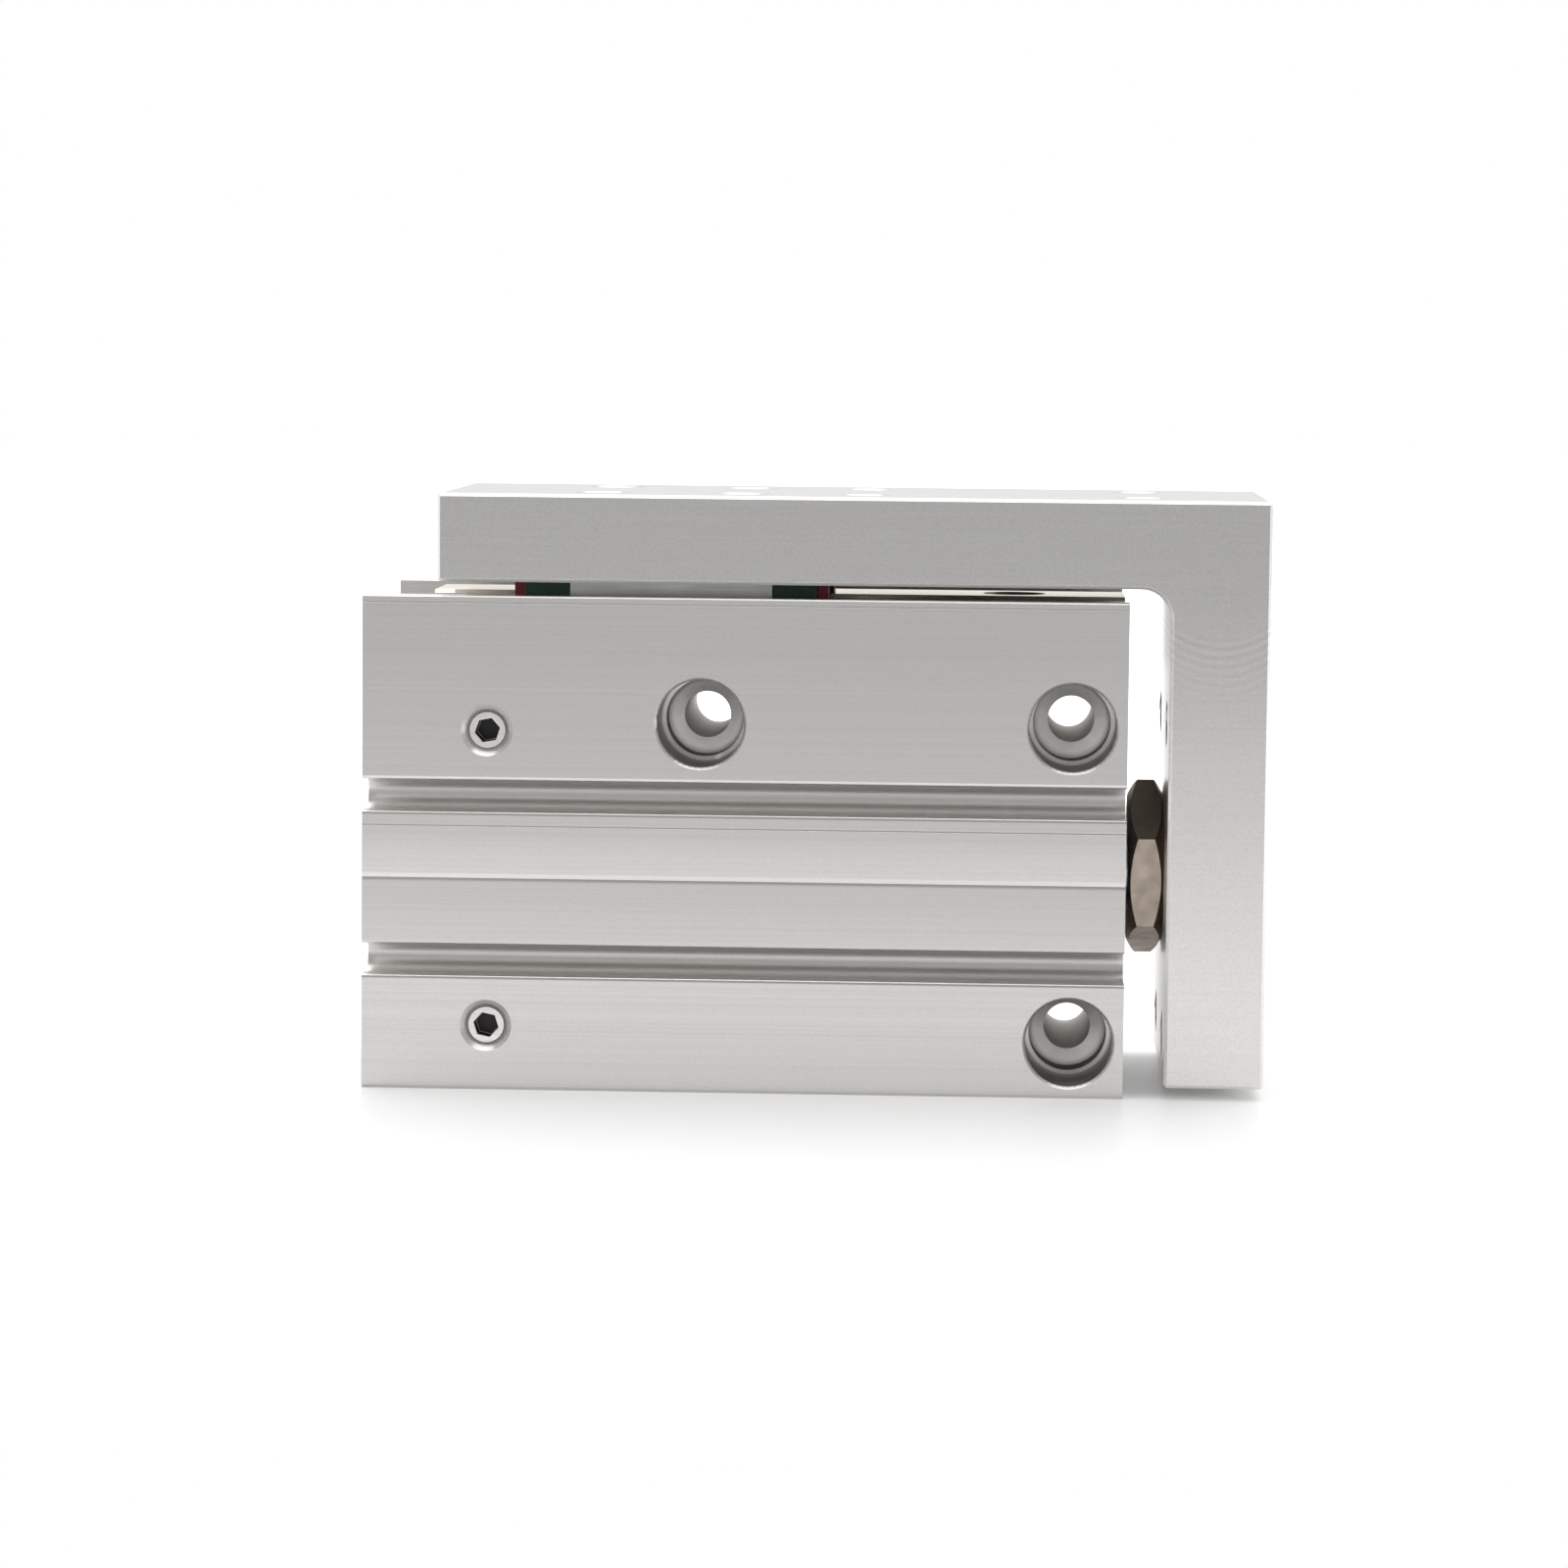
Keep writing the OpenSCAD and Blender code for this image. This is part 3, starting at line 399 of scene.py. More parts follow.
@dataclass(frozen=True)
class MilledAluminium(Finish):
    """Anodised plate, milled with a round tool whose path leaves arcs."""

    tool_radius: float = 9.0 * MM
    feed: float = 0.98 * MM
    path_x: float = 0.0
    first: float = 0.0
    fade: float = 9 * MM
    # Painted light: how much lighter the colour grows down the end plate.
    painted_lower_light: float = 0.28
    grains: float = 4200.0
    streaks: Triple = (40.0, 3000.0, 3000.0)
    top_shade: Colour = (0.86, 0.86, 0.86)
    cut_depth: float = 0.014 * MM

    def arcs(self, graph: Graph) -> Socket:
        """Return the tool's arcs, which start at one height and fade below it.

        Args:
            graph: Material to fill.

        Returns:
            The arcs, between 0 and 1, and 0.5 where there are none.
        """
        x, _, z = graph.split(graph.place())
        across = graph.math(Sum.SUBTRACT, x, self.path_x)
        inside = graph.math(Sum.SUBTRACT, self.tool_radius**2, graph.square(across))
        sag = graph.math(Sum.SQRT, graph.math(Sum.MAXIMUM, inside, 0.0))
        bottom = graph.math(Sum.SUBTRACT, graph.math(Sum.ADD, z, sag), self.tool_radius)
        wave = graph.math(Sum.SINE, graph.math(Sum.MULTIPLY, bottom, math.tau / self.feed))
        begun = graph.between(bottom, (self.first, self.first - self.feed), SHARE)
        ended = graph.between(bottom, (self.first - self.fade, self.first - self.feed), SHARE)
        shown = graph.math(Sum.MULTIPLY, graph.math(Sum.MULTIPLY, begun, ended),
                           graph.math(Sum.GREATER_THAN, inside, 0.0))
        return graph.math(Sum.ADD, graph.math(Sum.MULTIPLY, graph.math(Sum.MULTIPLY, wave, shown), 0.5), 0.5)

    def paint(self, graph: Graph) -> None:
        """Add tool arcs that fade down the end plate, painted light that makes its lower part lighter, and
        grain.

        Args:
            graph: Material to fill.
        """
        place = graph.place()
        _, _, z = graph.split(place)
        _, _, up = graph.split(graph.facing())
        arcs = self.arcs(graph)
        grain = graph.noise(place, self.grains, 2.0, 0.6)
        streaks = graph.noise(graph.stretched(place, self.streaks), 1.0, 2.0)
        rough = graph.weighted((grain, 0.75), (streaks, 0.25))
        mixed = graph.weighted((rough, 0.76), (arcs, 0.24))
        fading = (self.first + self.fade / 2, self.first - 1.5 * self.fade)
        # Painted light: the colour grows lighter down the end plate, as light from the floor.
        painted_lower_light = graph.between(z, fading, (0.0, self.painted_lower_light))
        lighter = graph.between(graph.math(Sum.ADD, mixed, painted_lower_light), (0.32, 1.1), SHARE)
        graph.dress(
            base_color=graph.tinted(lighter, shade(self.colour, 0.88), shade(self.colour, 1.32)),
            roughness=graph.between(mixed, MIDDLE, (self.rough * 1.08, self.rough * 0.95)),
            specular_tint=graph.tinted(graph.between(up, (0.3, 0.6), SHARE), (1.0, 1.0, 1.0), self.top_shade))
        graph.bump(graph.weighted((arcs, 0.5), (rough, 0.2)), self.cut_depth, 0.07)


@dataclass(frozen=True)
class GroundSteel(Finish):
    """Steel ground along X, with short fine scratches."""

    scratches: Triple = (120.0, 9000.0, 9000.0)
    clouds: float = 260.0
    scratch_depth: float = 0.008 * MM

    def paint(self, graph: Graph) -> None:
        """Add grinding scratches and faint clouds.

        Args:
            graph: Material to fill.
        """
        place = graph.place()
        scratch = graph.noise(graph.stretched(place, self.scratches), 1.0, 3.0, 0.65)
        cloud = graph.noise(place, self.clouds, 2.0)
        mixed = graph.weighted((scratch, 0.7), (cloud, 0.3))
        graph.dress(
            base_color=graph.tinted(graph.between(mixed, MIDDLE, SHARE),
                                    shade(self.colour, 0.88), shade(self.colour, 1.06)),
            roughness=graph.between(mixed, MIDDLE, (self.rough * 1.15, self.rough * 0.85)))
        graph.bump(mixed, self.scratch_depth, 0.35)


@dataclass(frozen=True)
class BoredWall(Finish):
    """Wall of a counterbore, with rings around the drill's axis along Y."""

    ring: float = 0.3 * MM
    ring_depth: float = 0.012 * MM
    around: float = 150.0
    mottles: float = 1500.0
    lower_side_shade: float = 0.25
    grazing: float = 0.27
    glint: Colour = (1.0, 0.96, 0.91)

    def paint(self, graph: Graph) -> None:
        """Add tool rings, and painted shade that darkens the lower side of the wall.

        Args:
            graph: Material to fill.
        """
        place = graph.place()
        rings = graph.stretched(place, (self.around, 1 / self.ring, self.around))
        rings = graph.noise(rings, 1.0, 3.0, 0.6)
        mottle = graph.noise(place, self.mottles, 3.0)
        mixed = graph.weighted((rings, 0.6), (mottle, 0.4))
        _, _, up = graph.split(graph.facing())
        # Painted shade: the colour darkens on faces that face up, the lower side of each hole wall.
        painted_lower_shade = graph.math(Sum.ADD, graph.between(up, (-0.1, 0.8), (0.0, self.lower_side_shade)),
                         graph.between(mixed, MIDDLE, (-0.06, 0.06)))
        graph.dress(
            base_color=graph.tinted(painted_lower_shade, shade(self.colour, 1.04), shade(self.colour, 0.16)),
            roughness=graph.between(mixed, MIDDLE, (self.rough * 1.1, self.rough * 0.88)),
            specular_tint=(*shade(self.glint, self.grazing), 1.0))
        graph.bump(mixed, self.ring_depth, 0.3)


class ShadedBoredCore(BoredWall):
    """Wall of the plain hole past a counterbore, left rougher by the drill, and painted darker as shade deep
    in the hole.
    """


class LitBoredCone(BoredWall):
    """Cone and ledges that the drill leaves at the end of a counterbore, painted near white as painted light.
    """


class PaintedShadeSocket(Finish):
    """Inside of a hexagon socket, painted near black as shade."""


class Sealant(Finish):
    """Painted shadow: a dark ring laid around a plug, where its joint with the body lies in shade."""


@dataclass(frozen=True)
class PolishedSteel(Finish):
    """Hardened steel, ground and lapped until it mirrors."""

    glint: Colour = (0.90, 0.85, 0.74)
    traces: Triple = (60.0, 5000.0, 5000.0)
    trace_depth: float = 0.001 * MM

    def paint(self, graph: Graph) -> None:
        """Add a trace of the grinding lines.

        Args:
            graph: Material to fill.
        """
        trace = graph.noise(graph.stretched(graph.place(), self.traces), 1.0, 2.0)
        graph.dress(
            base_color=graph.tinted(trace, shade(self.colour, 0.97), shade(self.colour, 1.02)),
            roughness=graph.between(trace, (0.3, 0.7), (self.rough * 0.9, self.rough * 1.2)),
            specular_tint=(*self.glint, 1.0))
        graph.bump(trace, self.trace_depth, 0.3)


@dataclass(frozen=True)
class TurnedMetal(Finish):
    """Metal turned about the bore axis, with rings from the tool."""

    axis_z: float = 0.0
    ring: float = 0.18 * MM
    ring_depth: float = 0.012 * MM
    clouds: float = 600.0

    def paint(self, graph: Graph) -> None:
        """Add turning rings and faint clouds.

        Args:
            graph: Material to fill.
        """
        place = graph.place()
        x, y, z = graph.split(place)
        up = graph.math(Sum.SUBTRACT, z, self.axis_z)
        far = graph.math(Sum.SQRT, graph.math(Sum.ADD, graph.square(y), graph.square(up)))
        turn = graph.math(Sum.ADD, far, x)
        rings = graph.math(Sum.SINE, graph.math(Sum.MULTIPLY, turn, math.tau / self.ring))
        cloud = graph.noise(place, self.clouds, 3.0)
        mixed = graph.math(Sum.ADD, graph.math(Sum.MULTIPLY, rings, 0.12), cloud)
        graph.dress(
            base_color=graph.tinted(graph.between(mixed, (0.25, 0.75), SHARE),
                                    shade(self.colour, 0.88), shade(self.colour, 1.08)),
            roughness=graph.between(mixed, (0.25, 0.75), (self.rough * 1.15, self.rough * 0.85)))
        graph.bump(mixed, self.ring_depth, 0.4)


class Palette:
    """The finishes of the slide, each with its slot of the record."""

    ARC_LEVEL = 0.77

    def __init__(self, plate_low: Vector, plate_high: Vector, plate_mid: float, axis_z: float) -> None:
        """Choose the finishes.

        Args:
            plate_low: Lowest corner of the table with its end plate.
            plate_high: Highest corner of the table with its end plate.
            plate_mid: Middle of the end plate along X.
            axis_z: Height of the bore's axis.
        """
        height = plate_high.z - plate_low.z
        self.body = DrawnAluminium("anodised_body", (0.77, 0.753, 0.735), 0.31, 0.92)
        self.table = MilledAluminium(
            "anodised_table", (0.738, 0.73, 0.715), 0.30, 0.92, path_x=plate_mid,
            first=plate_low.z + self.ARC_LEVEL * height)
        self.rail = PolishedSteel("rail_steel", (0.86, 0.83, 0.76), 0.12)
        self.block = GroundSteel("block_steel", (0.66, 0.66, 0.65), 0.34)
        self.black = Finish("black_steel", (0.045, 0.045, 0.05), 0.42, 0.6)
        self.plug = GroundSteel("plug_steel", (0.90, 0.885, 0.87), 0.34)
        # Painted shade: the plug sockets get a near-black finish.
        self.socket = PaintedShadeSocket("plug_steel", (0.035, 0.03, 0.03), 0.4, 0.5)
        # Painted light and shade: the hole walls and cones get lighter copies of the body's colour, the cores
        # a darker one.
        self.wall = BoredWall("anodised_body", (0.92, 0.90, 0.88), 0.24, lower_side_shade=0.5, grazing=0.4)
        self.core = ShadedBoredCore("anodised_body", (0.62, 0.605, 0.59), 0.55, 0.8, grazing=0.8)
        self.cone = LitBoredCone("anodised_body", (0.99, 0.975, 0.955), 0.36, 0.95, lower_side_shade=0.0, grazing=1.0)
        self.nut = TurnedMetal("nut_steel", (0.56, 0.475, 0.405), 0.42, axis_z=axis_z)
        self.ball = Finish("ball_steel", (0.75, 0.75, 0.77), 0.08)
        self.chrome = Finish("rod_chrome", (0.78, 0.78, 0.80), 0.1)
        self.cover = TurnedMetal("cover_aluminium", (0.72, 0.72, 0.72), 0.3, axis_z=axis_z)
        self.bronze = TurnedMetal("bush_bronze", (0.66, 0.46, 0.24), 0.35, axis_z=axis_z)
        self.green = Finish("cap_green", (0.015, 0.075, 0.04), 0.42, 0.0)
        self.red = Finish("seal_red", (0.30, 0.012, 0.035), 0.45, 0.0)
        # Painted shadow: the dark ring round each plug.
        self.sealant = Sealant("rubber", (0.16, 0.15, 0.14), 0.5, 0.0)
        self.rubber = Finish("rubber", (0.025, 0.025, 0.026), 0.6, 0.0)
        self.resin = Finish("wear_resin", (0.70, 0.60, 0.38), 0.5, 0.0)
        self.magnet = Finish("magnet_black", (0.06, 0.06, 0.065), 0.5, 0.0)


# ---- Meshes ------------------------------------------------------------------


def add_piece(name: str, mesh: bpy.types.Mesh, finish: Finish, body: Body) -> bpy.types.Object:
    """Add a mesh as a finished piece that rides on a body.

    Args:
        name: Name of the piece.
        mesh: Its mesh, in the frame.
        finish: Its finish.
        body: Body that carries it.

    Returns:
        The new object.
    """
    piece = bpy.data.objects.new(name, mesh)
    bpy.context.scene.collection.objects.link(piece)
    mesh.materials.clear()
    mesh.materials.append(finish.material())
    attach(piece, body.value)
    LOG.info("%s rides on %s", name, body.value)
    return piece


def smooth(mesh: bpy.types.Mesh, angle: float) -> None:
    """Shade a mesh smooth, with edges over an angle in degrees kept sharp."""
    mesh.shade_smooth()
    mesh.set_sharp_from_angle(angle=math.radians(angle))


def welded_copy(source: bpy.types.Object, weld: float = 0.001 * MM) -> bpy.types.Mesh:
    """Return a node's mesh as one welded skin with flat faces joined.

    Args:
        source: CAD node.
        weld: Distance under which points are joined.

    Returns:
        A new mesh.
    """
    mesh = source.data.copy()
    skin = bmesh.new()
    skin.from_mesh(mesh)
    bmesh.ops.remove_doubles(skin, verts=skin.verts, dist=weld)
    bmesh.ops.dissolve_limit(skin, angle_limit=math.radians(FLAT_ANGLE), verts=skin.verts, edges=skin.edges)
    skin.to_mesh(mesh)
    skin.free()
    return mesh


@dataclass(frozen=True)
class Lining:
    """Finishes of the faces inside a group of round holes."""

    mouths: Sequence[Vector]
    way: Way
    reach: float
    wall: Finish
    cone: Finish
    core: Finish
    core_reach: float
    length: float
    lip: float = 0.3 * MM
    slope: float = 0.3

    def pick(self, centre: Vector, normal: Vector) -> Finish | None:
        """Return the finish of a face, or None outside the holes.

        Args:
            centre: Middle of the face.
            normal: Its normal.

        Returns:
            The finish, or None.
        """
        out = self.way.vector()
        for mouth in self.mouths:
            step = centre - mouth
            depth = -step.dot(out)
            far = (step + out * depth).length
            if not self.lip < depth < self.length - self.lip or far > self.reach:
                continue
            if abs(normal.dot(out)) > self.slope:
                return self.cone
            return self.core if far < self.core_reach else self.wall
        return None

    def apply(self, mesh: bpy.types.Mesh) -> None:
        """Give the faces inside the holes their finishes.

        Args:
            mesh: Mesh in the frame.
        """
        found: list[Finish] = []
        for face in mesh.polygons:
            finish = self.pick(face.center, face.normal)
            if finish is None:
                continue
            if finish not in found:
                found.append(finish)
                mesh.materials.append(finish.material())
            face.material_index = mesh.materials.find(finish.material().name)


def eased(source: bpy.types.Object, name: str, finish: Finish, body: Body, edge: float,
          lining: Lining | None = None) -> bpy.types.Object:
    """Replace a CAD node by a copy with its sharp edges broken.

    Args:
        source: CAD node.
        name: Name of the new piece.
        finish: Its finish.
        body: Body that carries it.
        edge: Width of the broken edges, in metres.
        lining: Finishes inside its holes.

    Returns:
        The new object.
    """
    piece = add_piece(name, welded_copy(source), finish, body)
    if lining:
        lining.apply(piece.data)
    bevel = piece.modifiers.new("broken_edges", "BEVEL")
    bevel.width = edge
    bevel.segments = 2
    bevel.limit_method = "ANGLE"
    bevel.angle_limit = math.radians(EDGE_ANGLE)
    bevel.use_clamp_overlap = True
    bevel.material = 0
    smooth(piece.data, FACET_ANGLE)
    even = piece.modifiers.new("flat_faces", "WEIGHTED_NORMAL")
    even.mode = "FACE_AREA"
    even.weight = 100
    even.keep_sharp = True
    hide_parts(source.name)
    return piece


def join_rows(mesh: bmesh.types.BMesh, low: Sequence[bmesh.types.BMVert],
              high: Sequence[bmesh.types.BMVert]) -> None:
    """Join two closed rows of points by a band of faces.

    Args:
        mesh: Mesh that holds the points.
        low: First row.
        high: Second row, with as many points.
    """
    for side in range(len(low)):
        nxt = (side + 1) % len(low)
        mesh.faces.new((low[side], low[nxt], high[nxt], high[side]))


@dataclass(frozen=True)
class Ridge:
    """Ridge of an internal thread, as a closed helical strip."""

    radius: float
    length: float
    pitch: float = 0.8 * MM
    depth: float = 0.43 * MM
    flank: float = 0.44
    crest: float = 0.06
    inset: float = 0.2 * MM
    steps: int = 40

    def section(self) -> list[tuple[float, float]]:
        """Return the ridge's section.

        Returns:
            Its corners, as pairs of radius and height.
        """
        flank, crest = self.flank * self.pitch, self.crest * self.pitch
        tip = self.radius - self.depth
        return [(self.radius, -flank), (tip, -crest), (tip, crest), (self.radius, flank)]

    def build(self) -> bmesh.types.BMesh:
        """Return the ridge up along Z from the origin, run out to nothing at both ends.

        Returns:
            The ridge's mesh.
        """
        ridge = bmesh.new()
        count = max(2, int(self.length / self.pitch * self.steps))
        rows: list[list[bmesh.types.BMVert]] = []
        section = self.section()
        start = self.flank * self.pitch
        for step in range(count + 1):
            turn = math.tau * step / self.steps
            rise = start + (self.length - 2 * start) * step / count
            fade = min(1.0, step / self.steps * 2, (count - step) / self.steps * 2)
            row = []
            for far, up in section:
                reach = self.radius - (self.radius - far) * fade
                row.append(ridge.verts.new((reach * math.cos(turn), reach * math.sin(turn), rise + up)))
            rows.append(row)
        for low, high in zip(rows, rows[1:]):
            join_rows(ridge, low, high)
        ridge.faces.new(reversed(rows[0]))
        ridge.faces.new(rows[-1])
        return ridge


def threads(name: str, mouths: Iterable[Vector], way: Way, radius: float, length: float,
            finish: Finish, body: Body) -> bpy.types.Object:
    """Add the internal threads of a group of like holes.

    Args:
        name: Name of the piece.
        mouths: Middle of each hole's mouth.
        way: Direction out of the mouths.
        radius: Nominal radius.
        length: Length of thread in each hole.
        finish: Finish of the metal around.
        body: Body that carries the holes.

    Returns:
        The new object.
    """
    inward = -way.vector()
    turn = Vector((0, 0, 1)).rotation_difference(inward).to_matrix().to_4x4()
    mesh = bpy.data.meshes.new(name)
    whole = bmesh.new()
    form = Ridge(radius, length)
    for mouth in mouths:
        ridge = form.build()
        bmesh.ops.transform(ridge, matrix=Matrix.Translation(mouth + inward * form.inset) @ turn,
                            verts=ridge.verts)
        part = bpy.data.meshes.new("ridge")
        ridge.to_mesh(part)
        whole.from_mesh(part)
        ridge.free()
        bpy.data.meshes.remove(part)
    bmesh.ops.recalc_face_normals(whole, faces=whole.faces)
    whole.to_mesh(mesh)
    whole.free()
    smooth(mesh, RIDGE_ANGLE)
    return add_piece(name, mesh, finish, body)


def beads(name: str, middles: Iterable[Vector], radius: float, thick: float,
          finish: Finish, body: Body, turns: int = 64, sides: int = 8) -> bpy.types.Object:
    """Add thin round beads about axes along Y.

    Args:
        name: Name of the piece.
        middles: Middle of each bead.
        radius: Radius of its centre line.
        thick: Radius of its section.
        finish: Its finish.
        body: Body that carries it.
        turns: Steps around each bead.
        sides: Corners of its section.

    Returns:
        The new object.
    """
    whole = bmesh.new()
    for middle in middles:
        rows = []
        for turn in range(turns):
            out = Matrix.Rotation(math.tau * turn / turns, 3, "Y") @ Vector((1, 0, 0))
            rows.append([whole.verts.new(middle + out * (radius + thick * math.cos(math.tau * side / sides))
                                         + Vector((0, thick * math.sin(math.tau * side / sides), 0)))
                         for side in range(sides)])
        for turn in range(turns):
            join_rows(whole, rows[turn], rows[(turn + 1) % turns])
    bmesh.ops.recalc_face_normals(whole, faces=whole.faces)
    mesh = bpy.data.meshes.new(name)
    whole.to_mesh(mesh)
    whole.free()
    smooth(mesh, BEAD_ANGLE)
    return add_piece(name, mesh, finish, body)


# ---- Sub-assemblies ----------------------------------------------------------


@dataclass
class SubAssembly:
    """Pieces that go together on one body."""

    nodes: dict[str, bpy.types.Object]
    palette: Palette
    record: dict
    edge: float = 0.12 * MM
    fine_edge: float = 0.08 * MM

    def mount(self, name: str) -> dict:
        """Return the record's mount of that name."""
        return next(m for m in self.record["mounts"] if m["name"] == name)

    def ease(self, node: str, finish: Finish, body: Body, edge: float | None = None,
             lining: Lining | None = None) -> bpy.types.Object:
        """Replace one node by an eased copy, with the usual edge unless one is given."""
        return eased(self.nodes[node], f"{node}_eased", finish, body, edge or self.edge, lining)

    def paint(self, node: str, finish: Finish) -> None:
        """Give a CAD node that keeps its own shape a finish.

        Args:
            node: Name of the CAD node.
            finish: Its finish.
        """
        mesh = self.nodes[node].data
        mesh.materials.clear()
        mesh.materials.append(finish.material())
        LOG.info("%s keeps its shape", node)


def pattern_mouths(mount: dict, way: Way, face: float) -> list[Vector]:
    """Return the hole mouths of a bolt pattern.

    Args:
        mount: Mount of the record, a rectangle or a line.
        way: Direction out of the holes.
        face: Place of the face along that direction's axis.

    Returns:
        The middle of each mouth.
    """
    normal = way.vector()
    across = [k for k in range(3) if abs(normal[k]) < 0.5]
    along = next(k for k in range(3) if abs(normal[k]) > 0.5)
    spans = (mount["dims"].get("spacing_x_mm", 0.0), mount["dims"].get("spacing_y_mm", 0.0))
    mouths = []
    for i in (-0.5, 0.5) if spans[0] else (0.0,):
        for j in (-0.5, 0.5) if spans[1] else (0.0,):
            spot = Vector(mount["pos_m"])
            spot[across[0]] += i * spans[0] * MM
            spot[across[1]] += j * spans[1] * MM
            spot[along] = face
            mouths.append(spot)
    return mouths


@dataclass
class CylinderUnit(SubAssembly):
    """The extruded body with its rail, plugs and the covers of the bore."""

    bore_reach: float = 4.9 * MM
    core_reach: float = 2.9 * MM
    body_edge: float = 0.2 * MM
    plug_reach: float = 3.0 * MM
    plug_lip: float = 0.02 * MM
    bead_inset: float = 0.1 * MM
    bead_thick: float = 0.06 * MM
    base_thread: float = 7.5 * MM

    def side_lining(self) -> Lining:
        """Return the finishes inside the fixing holes of the side.

        Returns:
            The lining of every hole there.
        """
        low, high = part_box("cylinder_body")
        mouths = []
        for name in ("side_holes_upper", "side_holes_front"):
            mouths += pattern_mouths(self.mount(name), Way.NEAR, low.y)
        p = self.palette
        return Lining(
            mouths, Way.NEAR, self.bore_reach, p.wall, p.cone, p.core, self.core_reach, high.y - low.y)

    def build(self) -> None:
        """Dress every piece that stays with the body."""
        p = self.palette
        self.ease("cylinder_body", p.body, Body.CYLINDER, self.body_edge, self.side_lining())
        self.ease("guide_rail", p.rail, Body.CYLINDER)
        for node in ("rail_screws", "head_cover_clip", "rod_cover_clip"):
            self.ease(node, p.black, Body.CYLINDER, self.fine_edge)
        self.plugs_and_shadow_rings()
        for node in ("head_cover", "rod_cover"):
            self.ease(node, p.cover, Body.CYLINDER)
        for node in ("head_cover_o_ring", "rod_cover_o_ring", "rear_bumper", "front_bumper", "rod_seal"):
            self.paint(node, p.rubber)
        self.paint("rod_bush", p.bronze)
        self.paint("passage_balls", p.ball)
        self.cut_threads()

    def plugs_and_shadow_rings(self) -> None:
        """Dress the port plugs, with painted shade in their sockets, and lay a ring of painted shadow round
        each.
        """
        p = self.palette
        faces = []
        for node in ("upper_port_plug", "lower_port_plug"):
            low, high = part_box(node)
            faces.append(Vector(((low.x + high.x) / 2, low.y, (low.z + high.z) / 2)))
            # Painted shade: the faces inside each socket take the near-black finish.
            socket = Lining(faces[-1:], Way.NEAR, self.plug_reach, p.socket, p.socket, p.socket, 0.0,
                            high.y - low.y, self.plug_lip)
            self.ease(node, p.plug, Body.CYLINDER, self.fine_edge, socket)
        # Painted shadow: a thin dark ring round each plug face.
        beads("plug_sealant", faces, (high.x - low.x) / 2 - self.bead_inset, self.bead_thick,
              p.sealant, Body.CYLINDER)

    def cut_threads(self) -> None:
        """Add the threads in the base and in the rear ports."""
        low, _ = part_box("cylinder_body")
        base = self.mount("base_threads")
        threads("base_thread_ridges", pattern_mouths(base, Way.DOWN, low.z), Way.DOWN,
                base["dims"]["hole_r_mm"] * MM, self.base_thread, self.palette.body, Body.CYLINDER)
        ports = [self.mount(name) for name in ("rear_port_upper", "rear_port_lower")]
        mouths = [Vector((low.x, port["pos_m"][1], port["pos_m"][2])) for port in ports]
        sizes = ports[0]["dims"]
        threads("port_thread_ridges", mouths, Way.LEFT, sizes["r_mm"] * MM, sizes["length_mm"] * MM,
                self.palette.body, Body.CYLINDER)


@dataclass
class GuideRunner(SubAssembly):
    """The guide block with its caps, seals, screws and balls."""

    cap_edge: float = 0.2 * MM
    seal_edge: float = 0.15 * MM
    screw_edge: float = 0.05 * MM

    def build(self) -> None:
        """Dress the runner."""
        p = self.palette
        self.ease("guide_block", p.block, Body.TABLE)
        for node in ("rear_end_cap", "front_end_cap"):
            self.ease(node, p.green, Body.TABLE, self.cap_edge)
        for node in ("rear_end_seal", "front_end_seal"):
            self.ease(node, p.red, Body.TABLE, self.seal_edge)
        self.ease("seal_screws", p.black, Body.TABLE, self.screw_edge)
        self.paint("bearing_balls", p.ball)


@dataclass
class TableUnit(SubAssembly):
    """The L-shaped table with its screws and workpiece threads."""

    top_thread: float = 5.6 * MM
    plate_thread: float = 10.6 * MM

    def build(self) -> None:
        """Dress the table and its screws, and cut its threads."""
        p = self.palette
        self.ease("table", p.table, Body.TABLE)
        self.ease("block_screws", p.black, Body.TABLE, self.fine_edge)
        _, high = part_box("table")
        top = self.mount("table_threads")
        threads("table_thread_ridges", pattern_mouths(top, Way.UP, high.z), Way.UP,
                top["dims"]["hole_r_mm"] * MM, self.top_thread, p.table, Body.TABLE)
        plate = self.mount("plate_threads")
        threads("plate_thread_ridges", pattern_mouths(plate, Way.RIGHT, high.x), Way.RIGHT,
                plate["dims"]["hole_r_mm"] * MM, self.plate_thread, p.table, Body.TABLE)


@dataclass
class RodUnit(SubAssembly):
    """The rod, its joint to the end plate, and the piston with its rings."""

    joint_edge: float = 0.1 * MM

    def build(self) -> None:
        """Dress the rod and the piston."""
        p = self.palette
        self.ease("rod_nut", p.nut, Body.TABLE, self.joint_edge)
        self.ease("rod_end_screw", p.black, Body.TABLE, self.joint_edge)
        self.ease("rod_end_washer", p.plug, Body.TABLE, self.fine_edge)
        self.paint("piston_rod", p.chrome)
        for node in ("piston", "piston_retainer"):
            self.paint(node, p.cover)
        self.paint("piston_seal", p.rubber)
        self.paint("wear_ring", p.resin)
        self.paint("magnet", p.magnet)


# ---- Studio ------------------------------------------------------------------


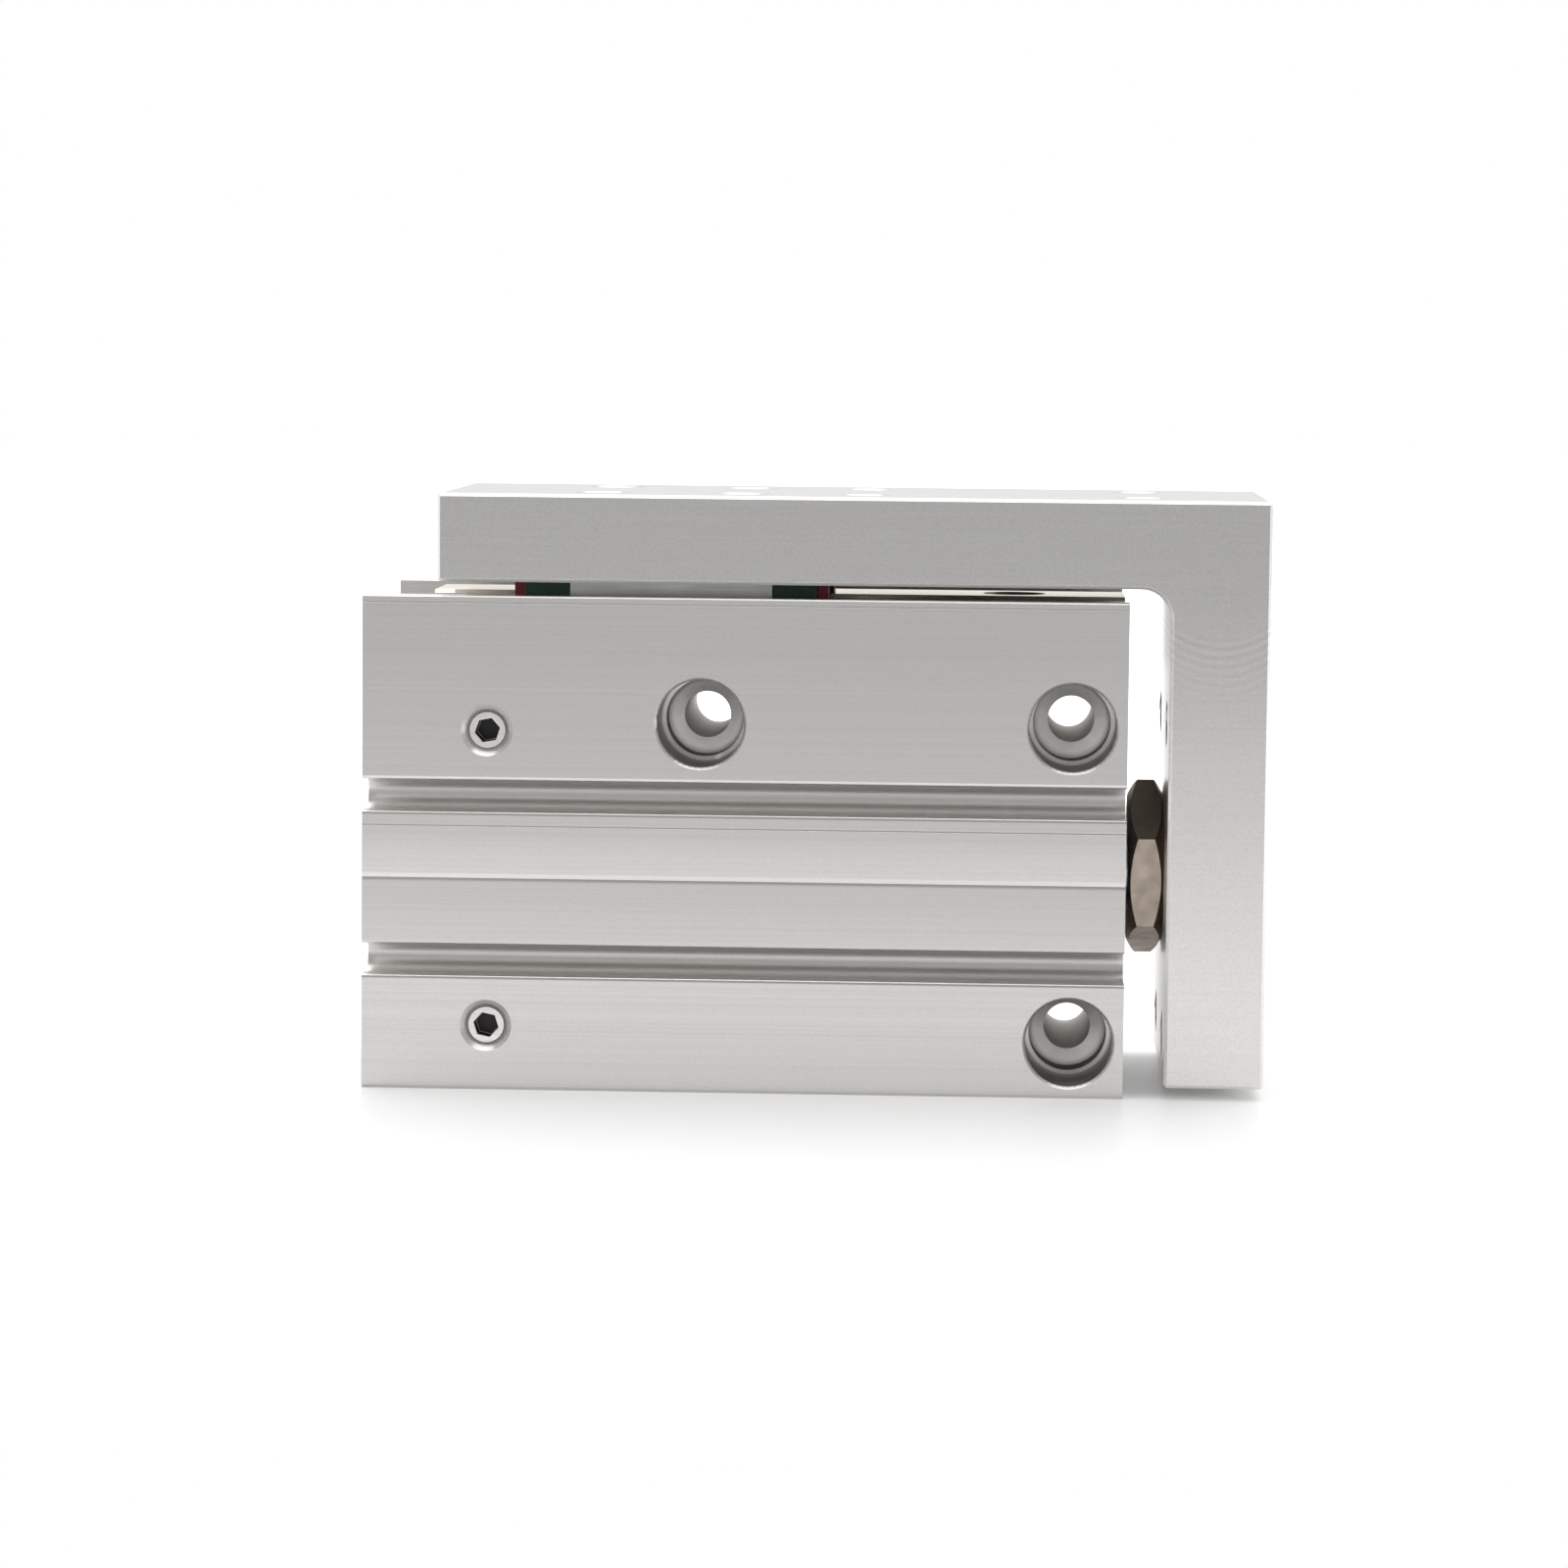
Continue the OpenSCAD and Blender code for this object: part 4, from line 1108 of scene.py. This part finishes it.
@dataclass
class Studio:
    """Camera, floor and light."""

    lens: float = 117.3
    sensor: float = 36.0
    stand: Triple = (0.01935, -0.5656, 0.0819)
    turn: float = 2.36
    tilt: float = 5.04
    roll: float = 0.57
    floor_side: float = 2.0
    floor_front: float = 0.2
    floor_back: float = 3.0
    floor_white: float = 0.88
    # Painted shadow on the floor: its glow sinks to a lower level in a pool round the object, lower still
    # under its outline.
    shadow_pool: float = 0.18
    shadow_pool_glow: float = 0.235
    under: float = 0.35
    contact_shadow_width: float = 5.0 * MM
    room: float = 0.30
    band: float = 0.26
    band_height: float = 0.4
    room_edge: tuple[float, float] = (-0.5, 0.4)
    band_edge: tuple[float, float] = (-0.9, 0.0)
    aim: Triple = (0.0, 0.0, 0.03)
    key_power: float = 3.0
    key_size: float = 0.8
    key_place: Triple = (0.0, 0.1, 0.7)
    fill_power: float = 0.6
    fill_size: float = 0.5
    fill_place: Triple = (-0.5, -0.5, 0.4)

    def camera(self) -> None:
        """Set up the camera where the slide is seen from in front and slightly above."""
        data = bpy.data.cameras.new("camera")
        data.lens = self.lens
        data.sensor_width = self.sensor
        data.clip_start, data.clip_end = 0.01, 20.0
        camera = bpy.data.objects.new("camera", data)
        bpy.context.scene.collection.objects.link(camera)
        rotation = (Matrix.Rotation(math.radians(self.turn), 4, "Z")
                    @ Matrix.Rotation(math.radians(90 - self.tilt), 4, "X")
                    @ Matrix.Rotation(math.radians(self.roll), 4, "Z"))
        camera.matrix_world = Matrix.Translation(self.stand) @ rotation
        bpy.context.scene.camera = camera

    def floor(self) -> None:
        """Lay a white table top that ends in front, towards the darker room, with a painted shadow where its
        glow is weaker round the object.
        """
        _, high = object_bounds()
        mesh = bpy.data.meshes.new("floor")
        side, front, back = self.floor_side, -self.floor_front, self.floor_back
        corners = [(-side, front, 0), (side, front, 0), (side, back, 0), (-side, back, 0)]
        mesh.from_pydata(corners, [], [(0, 1, 2, 3)])
        floor = bpy.data.objects.new("floor", mesh)
        bpy.context.scene.collection.objects.link(floor)
        graph = Graph("floor_white")
        graph.dress(base_color=(self.floor_white, self.floor_white, self.floor_white, 1.0), roughness=0.4)
        x, y, _ = graph.split(graph.place())
        across = graph.math(Sum.ADD, graph.square(x), graph.square(y))
        # Painted shadow: weaker glow under the object's outline and in a pool around it.
        contact_shadow = [graph.between(graph.math(Sum.ABSOLUTE, place), (edge - self.contact_shadow_width, edge), (self.under, 1.0))
                  for place, edge in ((x, high.x), (y, high.y))]
        shadow_pool_level = graph.math(Sum.MULTIPLY, graph.math(Sum.MAXIMUM, *contact_shadow), self.shadow_pool_glow)
        far = graph.between(graph.math(Sum.SQRT, across), (self.shadow_pool, 2.2 * self.shadow_pool), (shadow_pool_level, 1.0))
        tree = graph.tree
        glow = tree.nodes.new("ShaderNodeEmission")
        seen = graph.rays("Is Camera Ray", "Is Glossy Ray", "Is Transmission Ray")
        graph.link(graph.math(Sum.MULTIPLY, seen, far), glow.inputs["Strength"])
        both = tree.nodes.new("ShaderNodeAddShader")
        tree.links.new(graph.surface.outputs[0], both.inputs[0])
        tree.links.new(glow.outputs[0], both.inputs[1])
        tree.links.new(both.outputs[0], tree.nodes["Material Output"].inputs["Surface"])
        mesh.materials.append(graph.material)
        floor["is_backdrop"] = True

    def world(self) -> None:
        """Surround the object with white, darker in front, where only a band at its height is lit."""
        world = bpy.data.worlds.new("studio")
        bpy.context.scene.world = world
        world.use_nodes = True
        nodes = Nodes(world.node_tree)
        background = nodes.tree.nodes["Background"]
        background.inputs["Color"].default_value = (1.0, 1.0, 1.0, 1.0)
        _, back, up = nodes.split(nodes.tree.nodes.new("ShaderNodeTexCoord").outputs["Generated"])
        room = nodes.between(back, self.room_edge, (self.room, 1.0))
        level = nodes.between(nodes.math(Sum.ABSOLUTE, up), (0.0, self.band_height), (self.band, 0.0))
        front = nodes.between(back, self.band_edge, (1.0, 0.0))
        lit = nodes.math(Sum.ADD, room, nodes.math(Sum.MULTIPLY, level, front))
        nodes.link(nodes.math(Sum.MAXIMUM, lit, nodes.rays("Is Camera Ray")), background.inputs["Strength"])

    def lamp(self, name: str, power: float, place: Triple, size: float) -> None:
        """Hang one soft square lamp.

        Args:
            name: Name of the lamp.
            power: Power in watts.
            place: Where it hangs.
            size: Side of its square.
        """
        data = bpy.data.lights.new(name, "AREA")
        data.energy = power
        data.size = size
        lamp = bpy.data.objects.new(name, data)
        bpy.context.scene.collection.objects.link(lamp)
        lamp.location = place
        way = Vector(self.aim) - Vector(place)
        lamp.rotation_euler = way.to_track_quat("-Z", "Y").to_euler()

    def build(self) -> None:
        """Set up the whole studio."""
        self.camera()
        self.floor()
        self.world()
        self.lamp("key", self.key_power, self.key_place, self.key_size)
        self.lamp("fill", self.fill_power, self.fill_place, self.fill_size)
        bpy.context.scene.view_settings.view_transform = "Standard"


def main() -> None:
    """Load the frame, dress the slide and set up the studio."""
    logging.basicConfig(level=logging.INFO, format="%(message)s")
    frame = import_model()
    Studio().build()
    low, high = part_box("table")
    nut_low, nut_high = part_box("rod_nut")
    plate_mid = (nut_high.x + high.x) / 2
    palette = Palette(low, high, plate_mid, (nut_low.z + nut_high.z) / 2)
    nodes, record = frame["nodes"], frame["record"]
    for unit in (CylinderUnit, GuideRunner, TableUnit, RodUnit):
        unit(nodes, palette, record).build()


if __name__ == "__main__":
    main()
